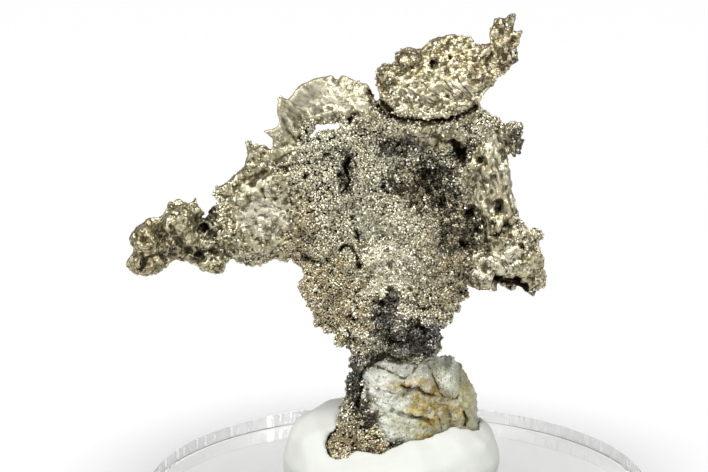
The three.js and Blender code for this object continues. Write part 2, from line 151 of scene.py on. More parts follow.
paper, paper_shader = new_material("matt_white_card")
paper_shader.inputs["Roughness"].default_value = 0.9
paper_shader.inputs["Specular IOR Level"].default_value = 0.1
paper_shader.inputs["Emission Color"].default_value = linear("#ffffff")
# Lit from behind it looks pure white and fills matt surfaces, while what the silver mirrors of it stays grey,
# as in a dim room.
rays = add_node(paper, "ShaderNodeLightPath").outputs
place = add_node(paper, "ShaderNodeTexCoord").outputs["Object"]
away = {"operation": "DISTANCE"}
away = add_node(paper, "ShaderNodeVectorMath", away, {1: HALO_CENTRE}, {0: place}).outputs["Value"]
halo = {"From Min": HALO[0], "From Max": HALO[1], "To Min": CARD_GLOW_SEEN[0], "To Max": CARD_GLOW_SEEN[1]}
soft = {"interpolation_type": "SMOOTHSTEP"}
seen = add_node(paper, "ShaderNodeMapRange", soft, halo, {"Value": away}).outputs["Result"]
to_camera = {0: rays["Is Camera Ray"], 1: seen}
glow = add_node(paper, "ShaderNodeMath", {"operation": "MULTIPLY"}, None, to_camera).outputs[0]
for kind, share in (
    ("Is Glossy Ray", CARD_GLOW_MIRRORED),
    ("Is Transmission Ray", CARD_GLOW_THROUGH_DISC - CARD_GLOW_MIRRORED),
    ("Is Diffuse Ray", CARD_GLOW_ON_MATT),
):
    add = {"operation": "MULTIPLY_ADD"}
    glow = add_node(paper, "ShaderNodeMath", add, {1: share}, {0: rays[kind], 2: glow}).outputs[0]
paper.links.new(glow, paper_shader.inputs["Emission Strength"])
white = {6: linear("#b4b4b2"), 7: (CARD_SEEN, CARD_SEEN, CARD_SEEN, 1)}
white = add_node(paper, "ShaderNodeMix", {"data_type": "RGBA"}, white, {0: rays["Is Camera Ray"]})
paper.links.new(white.outputs[2], paper_shader.inputs["Base Color"])
bpy.data.materials["matt_white_card"].cycles.emission_sampling = "NONE"
sweep.data.materials.append(bpy.data.materials["matt_white_card"])


# ---- Lights ----
# Softboxes at both sides and above, with the room behind the camera left dim, so that bright metal has
# something dark to mirror.
def softbox(name, place, size, power, aim=(0, 0, 38 * MM)):
    light = bpy.data.lights.new(name, "AREA")
    light.shape = "RECTANGLE"
    light.size, light.size_y = size
    light.energy = power
    lamp = bpy.data.objects.new(name, light)
    bpy.context.scene.collection.objects.link(lamp)
    lamp.location = place
    direction = (np.array(aim) - np.array(place)).tolist()
    lamp.rotation_euler = Vector(direction).to_track_quat("-Z", "Y").to_euler()
    return lamp


softbox("softbox_left", (-0.38, -0.30, 0.34), (0.16, 0.20), 2.0)
softbox("softbox_right", (0.42, -0.22, 0.22), (0.14, 0.20), 0.8)
softbox("softbox_top", (0.02, -0.12, 0.55), (0.26, 0.18), 2.0)
softbox("softbox_front", (0.16, -0.62, 0.44), (0.12, 0.10), 0.7)

ROOM_GLOW = 0.26
ROOM_SEEN = 1.6  # past the card's ends the room looks as white as the card
world = bpy.data.worlds.new("studio")
bpy.context.scene.world = world
world.use_nodes = True
world.node_tree.nodes["Background"].inputs["Color"].default_value = linear("#cfd0cd")
room = {"From Min": 0, "From Max": 1, "To Min": ROOM_GLOW, "To Max": ROOM_SEEN}
seen_room = add_node(world.node_tree, "ShaderNodeLightPath").outputs["Is Camera Ray"]
room = add_node(world.node_tree, "ShaderNodeMapRange", None, room, {"Value": seen_room}).outputs["Result"]
world.node_tree.links.new(room, world.node_tree.nodes["Background"].inputs["Strength"])


# ---- Acrylic disc ----
# A stock round of clear cast acrylic: turned, its edge polished and both corners broken with a fine bevel.
# It lies on its flat underside and carries the putty.
disc_low, disc_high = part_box("acrylic_disc")
disc_radius = (disc_high[0] - disc_low[0]) / 2
disc_thickness = disc_high[2] - disc_low[2]

deselect_all()
bpy.ops.mesh.primitive_cylinder_add(
    vertices=192, radius=disc_radius, depth=disc_thickness, location=(0, 0, disc_thickness / 2)
)
disc = bpy.context.object
disc.name = "clear_disc"
bpy.ops.object.transform_apply(location=True)
bevel = disc.modifiers.new("polished_corner", "BEVEL")
bevel.width = 0.35 * MM
bevel.segments = 3
bevel.limit_method = "ANGLE"
bevel.angle_limit = radians(40)
apply_modifiers(disc)
bpy.ops.object.shade_smooth_by_angle(angle=radians(10))

_, acrylic_shader = new_material("clear_cast_acrylic")
acrylic_shader.inputs["Base Color"].default_value = linear("#ffffff")
acrylic_shader.inputs["Transmission Weight"].default_value = 1
acrylic_shader.inputs["IOR"].default_value = 1.49
acrylic_shader.inputs["Roughness"].default_value = 0
disc.data.materials.append(bpy.data.materials["clear_cast_acrylic"])

# The turned edge keeps its fine machining lines, so it scatters what passes through it, and it glows a little
# with the light that the acrylic pipes out to it.
edge_tree, edge_shader = new_material("machined_acrylic_edge")
place = add_node(edge_tree, "ShaderNodeTexCoord").outputs["Object"]
upright = {"Scale": (1, 1, 0.05)}
upright = add_node(edge_tree, "ShaderNodeMapping", None, upright, {"Vector": place}).outputs["Vector"]
lines = {"Scale": 1 / (0.5 * MM), "Detail": 3}
lines = add_node(edge_tree, "ShaderNodeTexNoise", None, lines, {"Vector": upright}).outputs["Fac"]
cloud = {"From Min": 0.35, "From Max": 0.65, "To Min": 0.15, "To Max": 0.6}
cloud = add_node(edge_tree, "ShaderNodeMapRange", None, cloud, {"Value": lines}).outputs["Result"]
edge_tree.links.new(cloud, edge_shader.inputs["Roughness"])
edge_shader.inputs["Base Color"].default_value = linear("#ffffff")
edge_shader.inputs["Emission Color"].default_value = linear("#ffffff")
edge_shader.inputs["Emission Strength"].default_value = 0.2
edge_shader.inputs["Transmission Weight"].default_value = 1
edge_shader.inputs["IOR"].default_value = 1.49
disc.data.materials.append(bpy.data.materials["machined_acrylic_edge"])
for face in disc.data.polygons:
    face.material_index = int(abs(face.normal.z) < 0.1)
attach(disc, "root")
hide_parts("acrylic_disc")


# ---- Putty ----
# A ball of white mounting putty, thumbed into a collar round the rock's foot and pressed flat on the disc.
def merged_copy(node, name):
    """A copy of a CAD node's mesh as a piece of its own, with the loose triangles joined."""
    piece = bpy.data.objects.new(name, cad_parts[node].data.copy())
    bpy.context.scene.collection.objects.link(piece)
    piece.data.materials.clear()
    deselect_all()
    piece.select_set(True)
    bpy.context.view_layer.objects.active = piece
    bpy.ops.object.mode_set(mode="EDIT")
    bpy.ops.mesh.select_all(action="SELECT")
    bpy.ops.mesh.remove_doubles(threshold=0.001 * MM)
    bpy.ops.object.mode_set(mode="OBJECT")
    return piece


def voxel_remesh(piece, size, smoothing):
    remesh = piece.modifiers.new("remesh", "REMESH")
    remesh.mode = "VOXEL"
    remesh.voxel_size = size
    soften = piece.modifiers.new("soften", "SMOOTH")
    soften.factor = 0.5
    soften.iterations = smoothing
    apply_modifiers(piece)


def pattern(name, kind, size, **settings):
    texture = bpy.data.textures.new(name, kind)
    texture.noise_scale = size
    for key, value in settings.items():
        setattr(texture, key, value)
    return texture


def displace(piece, texture, strength, middle=0.5, group="", direction="NORMAL", guide=None):
    layer = piece.modifiers.new(texture.name, "DISPLACE")
    layer.texture = texture
    layer.texture_coords = "OBJECT" if guide else "LOCAL"
    layer.texture_coords_object = guide
    layer.strength = strength
    layer.mid_level = middle
    layer.direction = direction
    layer.vertex_group = group
    apply_modifiers(piece)


def points_of(piece):
    """Vertex positions in millimetres, as an array of rows."""
    flat = np.empty(3 * len(piece.data.vertices))
    piece.data.vertices.foreach_get("co", flat)
    return flat.reshape(-1, 3) / MM


def normals_of(piece):
    flat = np.empty(3 * len(piece.data.vertices))
    piece.data.vertex_normals.foreach_get("vector", flat)
    return flat.reshape(-1, 3)


putty = merged_copy("putty", "white_putty")
voxel_remesh(putty, 0.3 * MM, 12)
displace(putty, pattern("thumb_dents", "CLOUDS", 4.5 * MM, noise_depth=0), 0.7 * MM)
displace(putty, pattern("skin_creases", "CLOUDS", 1.4 * MM, noise_depth=1), 0.12 * MM)
PRESSED_UP = (-4.4, -7.0)  # where a thumb pushed the putty up against the crust
PRESSED_REACH = (3.6, 3.0)
PRESSED_RISE = 0.9
surface = points_of(putty)
from_thumb = (surface[:, :2] - PRESSED_UP) / PRESSED_REACH
reach = np.hypot(from_thumb[:, 0], from_thumb[:, 1])
surface[:, 2] += PRESSED_RISE * np.exp(-(reach**2)) * np.clip(normals_of(putty)[:, 2], 0, 1)
putty.data.vertices.foreach_set("co", (surface * MM).ravel())
putty.data.update()
bpy.ops.object.shade_smooth()

white_putty, putty_shader = new_material("white_mounting_putty")
putty_shader.inputs["Base Color"].default_value = linear("#c9cbc5")
putty_shader.inputs["Roughness"].default_value = 0.6
place = add_node(white_putty, "ShaderNodeTexCoord").outputs["Object"]
THUMBED = {"Rotation": (0, radians(-12), 0), "Scale": (5, 5, 1)}  # skin lines lie the way a thumb drew them
drawn = {"vector_type": "TEXTURE"}
drawn = add_node(white_putty, "ShaderNodeMapping", drawn, THUMBED, {"Vector": place}).outputs["Vector"]
lines = {"Scale": 1 / (0.5 * MM), "Detail": 3}
lines = add_node(white_putty, "ShaderNodeTexNoise", None, lines, {"Vector": drawn}).outputs["Fac"]
skin = {"Strength": 1.0, "Distance": 0.06 * MM}
skin = add_node(white_putty, "ShaderNodeBump", None, skin, {"Height": lines})
white_putty.links.new(skin.outputs["Normal"], putty_shader.inputs["Normal"])
putty.data.materials.append(bpy.data.materials["white_mounting_putty"])
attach(putty, "root")
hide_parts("putty")


# ---- Rock ----
# The block of pale carbonate that the silver grew on, hammered from its vein: broken faces, open joints,
# black specks of sulphide, and ochre rust that has spread from the joints.
def wander_of(points, size, seed=0):
    """Smooth noise from -1 to 1 at each point, with lumps of the given size in millimetres."""
    return np.array([noise.noise(Vector(p) / size + Vector((seed, seed, seed))) for p in points])


def away_from(points, path):
    """Distance in millimetres from each point to a line drawn through (x, z) points, seen from the front."""
    nearest = np.full(len(points), 1e9)
    for (ax, az), (bx, bz) in zip(path, path[1:] or path):
        dx, dz = bx - ax, bz - az
        along = ((points[:, 0] - ax) * dx + (points[:, 2] - az) * dz) / max(dx * dx + dz * dz, 1e-9)
        along = np.clip(along, 0, 1)
        off_x = points[:, 0] - ax - along * dx
        off_z = points[:, 2] - az - along * dz
        nearest = np.minimum(nearest, np.hypot(off_x, off_z))
    return nearest


def drift_of(points, size, first_seed):
    """Smooth noise along X, Y and Z at each point, each from -1 to 1."""
    return np.stack([wander_of(points, size, first_seed + axis) for axis in range(3)], axis=1)


MARK_WOBBLE = 0.25  # how far a mark strays from its line
MARK_BENDS = 0.7  # the size of its bends


def carve(piece, marks):
    """Presses marks into the front. A mark is (depth, half width, line of (x, z) points) in millimetres,
    and a negative depth stands proud."""
    points = points_of(piece)
    faces_front = np.clip(-2.5 * normals_of(piece)[:, 1], 0, 1)
    drifted = points + MARK_WOBBLE * drift_of(points, MARK_BENDS, 5)
    pressed = np.zeros(len(points))
    for depth, half_width, path in marks:
        reach = away_from(drifted, path) / half_width
        pressed += depth * np.clip(1.25 - reach / 1.2, 0, 1)
    points[:, 1] += faces_front * pressed
    piece.data.vertices.foreach_set("co", (points * MM).ravel())
    piece.data.update()


def nudge(piece, moves):
    """Shifts soft round parts of a piece: each move is (x, z, half width, half height, along X, along Z)."""
    points = points_of(piece)
    shifted = points.copy()
    for x, z, half_width, half_height, along_x, along_z in moves:
        share = np.exp(-(((points[:, 0] - x) / half_width) ** 2) - ((points[:, 2] - z) / half_height) ** 2)
        shifted[:, 0] += share * along_x
        shifted[:, 2] += share * along_z
    piece.data.vertices.foreach_set("co", (shifted * MM).ravel())
    piece.data.update()


def patches(points, spots, edge=0.35, raggedness=0.35, size=1.8):
    """Soft patches on the face: each spot is (x, z, half width, half height) in millimetres."""
    drift = wander_of(points, size) * raggedness
    cover = np.zeros(len(points))
    for x, z, half_width, half_height in spots:
        reach = np.hypot((points[:, 0] - x) / half_width, (points[:, 2] - z) / half_height) + drift
        cover = np.maximum(cover, np.clip((1 + edge - reach) / (2 * edge), 0, 1))
    return cover


def as_attribute(piece, name, values):
    layer = piece.data.attributes.new(name, "FLOAT", "POINT")
    layer.data.foreach_set("value", np.ascontiguousarray(values, dtype=np.float32))


# Open joints in the rock's front and edges that stand proud of it, as carve takes them.
ROCK_JOINTS = [
    (0.5, 0.16, [(0.2, 19.0), (0.9, 18.75), (1.4, 18.65)]),
    (0.6, 0.20, [(2.3, 18.5), (2.8, 18.1), (3.4, 17.8), (3.8, 17.6)]),
    (
        0.3,
        0.45,
        [
            (3.0, 21.6), (3.4, 20.6), (3.7, 20.0), (4.1, 19.0),
            (4.4, 18.4), (4.9, 17.5), (5.9, 17.0), (6.6, 16.9),
        ],
    ),
    (0.5, 0.16, [(7.5, 13.6), (7.6, 14.6), (7.3, 15.4)]),
    (0.2, 0.45, [(7.0, 20.6), (7.1, 19.2), (6.9, 17.9), (6.6, 17.0), (7.0, 16.0)]),
    (0.3, 0.30, [(5.2, 21.6), (5.4, 20.7)]),
    (0.3, 0.60, [(-0.2, 17.2), (1.6, 16.6), (3.4, 16.2)]),
    (0.3, 0.20, [(-3.4, 13.4), (-1.8, 12.6), (0.2, 12.2), (1.8, 12.5)]),
    (0.2, 0.30, [(-4.4, 20.9), (-2.6, 20.7), (-0.9, 20.4), (0.0, 20.0)]),
    (-0.3, 0.5, [(-0.9, 21.2), (1.0, 20.8), (2.2, 21.2)]),
    (-0.4, 0.9, [(4.8, 19.6), (5.3, 18.4)]),
    (-0.5, 1.2, [(-2.2, 19.4), (-0.6, 19.3)]),
]
CRACKS = [  # each is (half width, line of (x, z) points)
    (0.09, [(-4.6, 20.9), (-3.6, 20.85), (-2.6, 20.7), (-1.7, 20.75), (-0.9, 20.4)]),
    (0.09, [(-0.9, 20.4), (0.0, 20.0), (0.6, 19.8), (1.3, 20.2), (2.0, 20.9), (2.3, 21.6)]),
    (0.13, [(0.2, 19.0), (0.7, 18.85), (1.3, 18.7)]),
    (0.05, [(1.3, 18.7), (1.9, 18.75), (2.4, 18.5)]),
    (0.15, [(2.3, 18.5), (2.8, 18.15), (3.4, 17.85), (3.7, 17.7)]),
    (0.05, [(3.7, 17.7), (4.6, 17.4), (5.2, 17.1)]),
    (0.04, [(3.0, 21.6), (3.4, 20.6), (3.7, 20.0), (3.9, 19.4)]),
    (0.09, [(3.9, 19.4), (4.3, 18.5), (4.7, 17.7), (5.2, 17.2)]),
    (0.08, [(5.2, 17.2), (5.9, 17.0), (6.6, 16.9)]),
    (0.10, [(7.5, 13.6), (7.6, 14.6), (7.3, 15.4)]),
    (0.03, [(7.0, 20.6), (7.1, 19.2), (6.9, 17.9), (6.6, 17.0), (7.0, 16.0)]),
    (0.04, [(-3.4, 19.0), (-2.4, 18.5), (-1.4, 18.4), (-0.4, 18.2)]),
    (0.05, [(4.2, 15.6), (4.7, 14.6), (4.9, 13.2)]),
    (0.04, [(3.6, 16.9), (4.6, 16.5), (5.6, 16.2), (6.4, 15.6)]),
    (0.04, [(-2.9, 17.0), (-2.0, 16.4), (-1.2, 15.4)]),
    (0.04, [(5.4, 15.9), (5.9, 14.9), (5.8, 14.0)]),
    (0.05, [(-3.4, 13.4), (-1.8, 12.6), (0.2, 12.2)]),
]
# Stains, speckled places, and a patch of painted light on the rock's left side, as patches takes them.
RUST = [
    (1.4, 19.0, 2.4, 0.7),
    (2.6, 17.8, 1.6, 0.7),
    (2.5, 16.6, 1.3, 1.1),
    (3.6, 14.8, 1.0, 1.8),
    (3.0, 12.9, 1.2, 0.9),
    (5.0, 16.4, 1.4, 0.8),
    (6.3, 15.2, 1.0, 1.2),
    (4.2, 18.0, 0.5, 1.0),
]
OLIVE = [
    (3.8, 15.6, 3.2, 3.6),
    (7.8, 16.4, 1.2, 4.6),
    (5.8, 21.4, 1.0, 0.9),
    (5.8, 14.6, 1.4, 1.4),
    (1.8, 12.6, 1.4, 0.8),
]
# Painted light: a patch that lifts the shade falling on the rock's left side.
PAINTED_FILL = [(-3.0, 18.4, 1.9, 3.4)]
SPECKED = [(5.6, 19.0, 1.6, 2.4), (-1.4, 21.4, 1.2, 1.0), (-0.8, 13.0, 2.4, 1.8), (-2.6, 15.4, 1.2, 2.0)]

rock = merged_copy("rock_matrix", "carbonate_rock")
voxel_remesh(rock, 0.15 * MM, 3)
displace(rock, pattern("broken_faces", "VORONOI", 2.6 * MM, distance_metric="DISTANCE"), 0.5 * MM, middle=0.4)
displace(rock, pattern("chips", "CLOUDS", 1.1 * MM, noise_depth=2, noise_type="HARD_NOISE"), 0.5 * MM)
displace(rock, pattern("rock_grain", "CLOUDS", 0.4 * MM, noise_depth=2, noise_type="HARD_NOISE"), 0.25 * MM)
carve(rock, ROCK_JOINTS)
nudge(rock, [(7.1, 19.6, 1.2, 1.6, -0.5, 0)])
bpy.ops.object.shade_smooth()
surface = points_of(rock)
jittered = surface + 0.12 * drift_of(surface, 0.35, 15)
as_attribute(rock, "to_crack", np.min([away_from(jittered, path) - width for width, path in CRACKS], axis=0))
as_attribute(rock, "rust", patches(surface, RUST, edge=0.5, raggedness=0.7, size=1.1))
as_attribute(rock, "olive", patches(surface, OLIVE, edge=0.5, raggedness=0.6, size=1.5))
as_attribute(rock, "painted_fill", patches(surface, PAINTED_FILL, edge=0.8, raggedness=0.6, size=1.2))
as_attribute(rock, "specked", patches(surface, SPECKED, edge=0.5, raggedness=0.6, size=1.2))


def attribute(tree, name):
    return add_node(tree, "ShaderNodeAttribute", {"attribute_name": name}).outputs["Fac"]


def ramp(tree, source, low, high, to_low=0, to_high=1):
    node = add_node(
        tree,
        "ShaderNodeMapRange",
        {"interpolation_type": "SMOOTHSTEP"},
        {"From Min": low, "From Max": high, "To Min": to_low, "To Max": to_high},
        {"Value": source},
    )
    return node.outputs["Result"]


def put(tree, socket, value):
    """Gives a socket a number, a hex colour or another node's output."""
    if isinstance(value, str):
        socket.default_value = linear(value)
    elif isinstance(value, (int, float)):
        socket.default_value = value
    else:
        tree.links.new(value, socket)


def mix_colour(tree, amount, first, second, blend="MIX"):
    node = add_node(tree, "ShaderNodeMix", {"data_type": "RGBA", "blend_type": blend})
    for socket, value in ((0, amount), (6, first), (7, second)):
        put(tree, node.inputs[socket], value)
    return node.outputs[2]


def maths(tree, operation, first, second=0.0, clamp=False):
    node = add_node(tree, "ShaderNodeMath", {"operation": operation, "use_clamp": clamp})
    put(tree, node.inputs[0], first)
    put(tree, node.inputs[1], second)
    return node.outputs[0]


def noise_of(tree, place, size, **values):
    """Noise with lumps of the given size."""
    values = {"Scale": 1 / size, **values}
    return add_node(tree, "ShaderNodeTexNoise", None, values, {"Vector": place}).outputs["Fac"]


def cells_of(tree, place, size):
    """Voronoi cells of the given size: a random colour for each, and the distance from its middle."""
    node = add_node(tree, "ShaderNodeTexVoronoi", {"feature": "F1"}, {"Scale": 1 / size}, {"Vector": place})
    tones = add_node(tree, "ShaderNodeSeparateXYZ", links={"Vector": node.outputs["Color"]})
    return tones.outputs, node.outputs["Distance"]


# Calcite and dolomite: pale grey-green with a fine crystalline grain, painted lighter on its left side to
# lift the shade there.
carbonate, rock_shader = new_material("pale_carbonate_rock")
place = add_node(carbonate, "ShaderNodeTexCoord").outputs["Object"]
wobble = {"Scale": 1 / (0.25 * MM)}
wobble = add_node(carbonate, "ShaderNodeTexNoise", None, wobble, {"Vector": place}).outputs["Color"]
push = {1: (0.3 * MM,) * 3}
crooked = {"operation": "MULTIPLY_ADD"}
crooked = add_node(carbonate, "ShaderNodeVectorMath", crooked, push, {0: wobble, 2: place}).outputs[0]
blotches = noise_of(carbonate, place, 2.4 * MM, Detail=4, Roughness=0.6)
sugar = noise_of(carbonate, place, 0.3 * MM, Detail=2)
colour = mix_colour(carbonate, ramp(carbonate, blotches, 0.35, 0.65), "#bfc1b1", "#dcddd0")
colour = mix_colour(carbonate, ramp(carbonate, sugar, 0.35, 0.7, 0, 0.6), colour, "#8e9184")
veins = noise_of(carbonate, place, 1.1 * MM, Detail=3, Distortion=1.2)
colour = mix_colour(carbonate, ramp(carbonate, veins, 0.56, 0.66, 0, 0.45), colour, "#f0f0e8")
# Painted light: lightens the rock's left side where shade falls.
painted_fill_share = ramp(carbonate, attribute(carbonate, "painted_fill"), 0, 1, 0, 0.5)
colour = mix_colour(carbonate, painted_fill_share, colour, "#f4f5ec")
stain = noise_of(carbonate, place, 0.8 * MM, Detail=4, Roughness=0.65)
blotted = ramp(carbonate, stain, 0.35, 0.6, 0.35, 0.95)
olive = maths(carbonate, "MULTIPLY", attribute(carbonate, "olive"), blotted)
colour = mix_colour(carbonate, olive, colour, "#a09866")
soaked = ramp(carbonate, stain, 0.38, 0.56, 0.1, 0.95)
rust = maths(carbonate, "MULTIPLY", attribute(carbonate, "rust"), soaked)
ochre = mix_colour(carbonate, ramp(carbonate, veins, 0.42, 0.58), "#b39c52", "#857038")
colour = mix_colour(carbonate, rust, colour, ochre)
tone, from_middle = cells_of(carbonate, crooked, 0.26 * MM)
scarcity = ramp(carbonate, attribute(carbonate, "specked"), 0, 1, 0.94, 0.74)
speck = maths(carbonate, "GREATER_THAN", tone["X"], scarcity)
speck = maths(carbonate, "MULTIPLY", speck, ramp(carbonate, from_middle, 0.5, 0.25, 0, 0.85))
colour = mix_colour(carbonate, speck, colour, "#3a3d40")
frayed = maths(carbonate, "MULTIPLY", maths(carbonate, "SUBTRACT", stain, 0.5), 0.35)
crack = maths(carbonate, "ADD", attribute(carbonate, "to_crack"), frayed)
colour = mix_colour(carbonate, ramp(carbonate, crack, 0.25, 0.0, 0, 0.35), colour, "#8c7f58")
colour = mix_colour(carbonate, ramp(carbonate, crack, 0.05, -0.04, 0, 0.9), colour, "#3a2f1c")
colour = mix_colour(carbonate, attribute(carbonate, "crust"), colour, "#3d372c")
carbonate.links.new(colour, rock_shader.inputs["Base Color"])
rock_shader.inputs["Roughness"].default_value = 0.8
grain_height = maths(carbonate, "ADD", sugar, maths(carbonate, "MULTIPLY", veins, 0.8))
bump = {"Strength": 1.0, "Distance": 0.25 * MM}
bump = add_node(carbonate, "ShaderNodeBump", None, bump, {"Height": grain_height})
carbonate.links.new(bump.outputs["Normal"], rock_shader.inputs["Normal"])
rock.data.materials.append(bpy.data.materials["pale_carbonate_rock"])
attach(rock, "root")
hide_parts("rock_matrix")


# ---- Silver sheet ----
# The sheet of native silver, grown in a vein: leaves of crumpled foil with torn rims at the top and sides,
# and a granular plate between them, with painted highlights on its high points, and its hollows darkened
# brown to black by tarnish and painted shade.
GROUP_STEPS = 10


def as_group(piece, name, weights):
    """Makes a vertex group of the weights, rounded to that many steps."""
    group = piece.vertex_groups.new(name=name)
    for step in range(1, GROUP_STEPS + 1):
        members = np.nonzero(np.round(weights * GROUP_STEPS) == step)[0]
        if len(members):
            group.add(members.tolist(), step / GROUP_STEPS, "REPLACE")


def hollowness(piece, rounds):
    """How far each point lies below the surface averaged over that many rings of neighbours, in mm."""
    points = points_of(piece)
    ends = np.empty(2 * len(piece.data.edges), dtype=np.int64)
    piece.data.edges.foreach_get("vertices", ends)
    a, b = ends.reshape(-1, 2).T
    count = np.bincount(np.concatenate([a, b]), minlength=len(points))
    average = points.copy()
    for _ in range(rounds):
        total = np.array([np.bincount(a, average[b, i], len(points)) for i in range(3)])
        total += [np.bincount(b, average[a, i], len(points)) for i in range(3)]
        average = (total / np.maximum(count, 1)).T
    return np.sum((average - points) * normals_of(piece), axis=1)


def lie_of(turn, stretch):
    """An empty that a displacement can follow, so that its lumps lie along a direction of the face."""
    bpy.ops.object.empty_add(rotation=(0, -radians(turn), 0))
    guide = bpy.context.object
    guide.scale = (stretch, 1, 1)
    bpy.context.view_layer.update()
    return guide


# The kinds of surface on the face, as patches takes them.
LEAF = [(-8.2, 51.4, 6.0, 3.4), (-13.2, 47.8, 2.4, 4.6)]
HACKLY = [(4.2, 54.4, 8.2, 4.9), (-16.0, 39.6, 4.4, 7.5), (3.5, 47.4, 4.4, 1.4)]
CRINKLED = [(12.4, 32.8, 4.8, 3.6), (9.0, 31.2, 2.2, 1.8)]
DRAPED = [(10.6, 41.6, 3.2, 7.2)]
STREAKED = [(-9.6, 51.2, 5.0, 3.2), (4.6, 52.8, 4.6, 1.6), (0.0, 33.6, 4.4, 4.6), (-4.0, 36.6, 3.0, 2.4)]
ROWED = [(0.0, 33.8, 5.0, 4.4), (-3.6, 37.4, 3.4, 2.2)]  # where the grains grew in slanting rows
SMOOTH = [(-8.4, 51.2, 5.4, 2.6), (-13.6, 48.4, 1.8, 3.6), (-15.6, 38.6, 2.6, 2.6)]
KNOTTED = [(-25.2, 35.4, 6.2, 5.4), (11.9, 58.4, 2.4, 4.2), (-20.9, 32.4, 2.2, 1.6)]
FOIL = LEAF + HACKLY + CRINKLED + DRAPED + KNOTTED
LUMPED = [(1.2, 24.4, 5.0, 2.8), (12.9, 47.0, 2.0, 2.8), (-4.8, 15.0, 3.0, 6.0)]

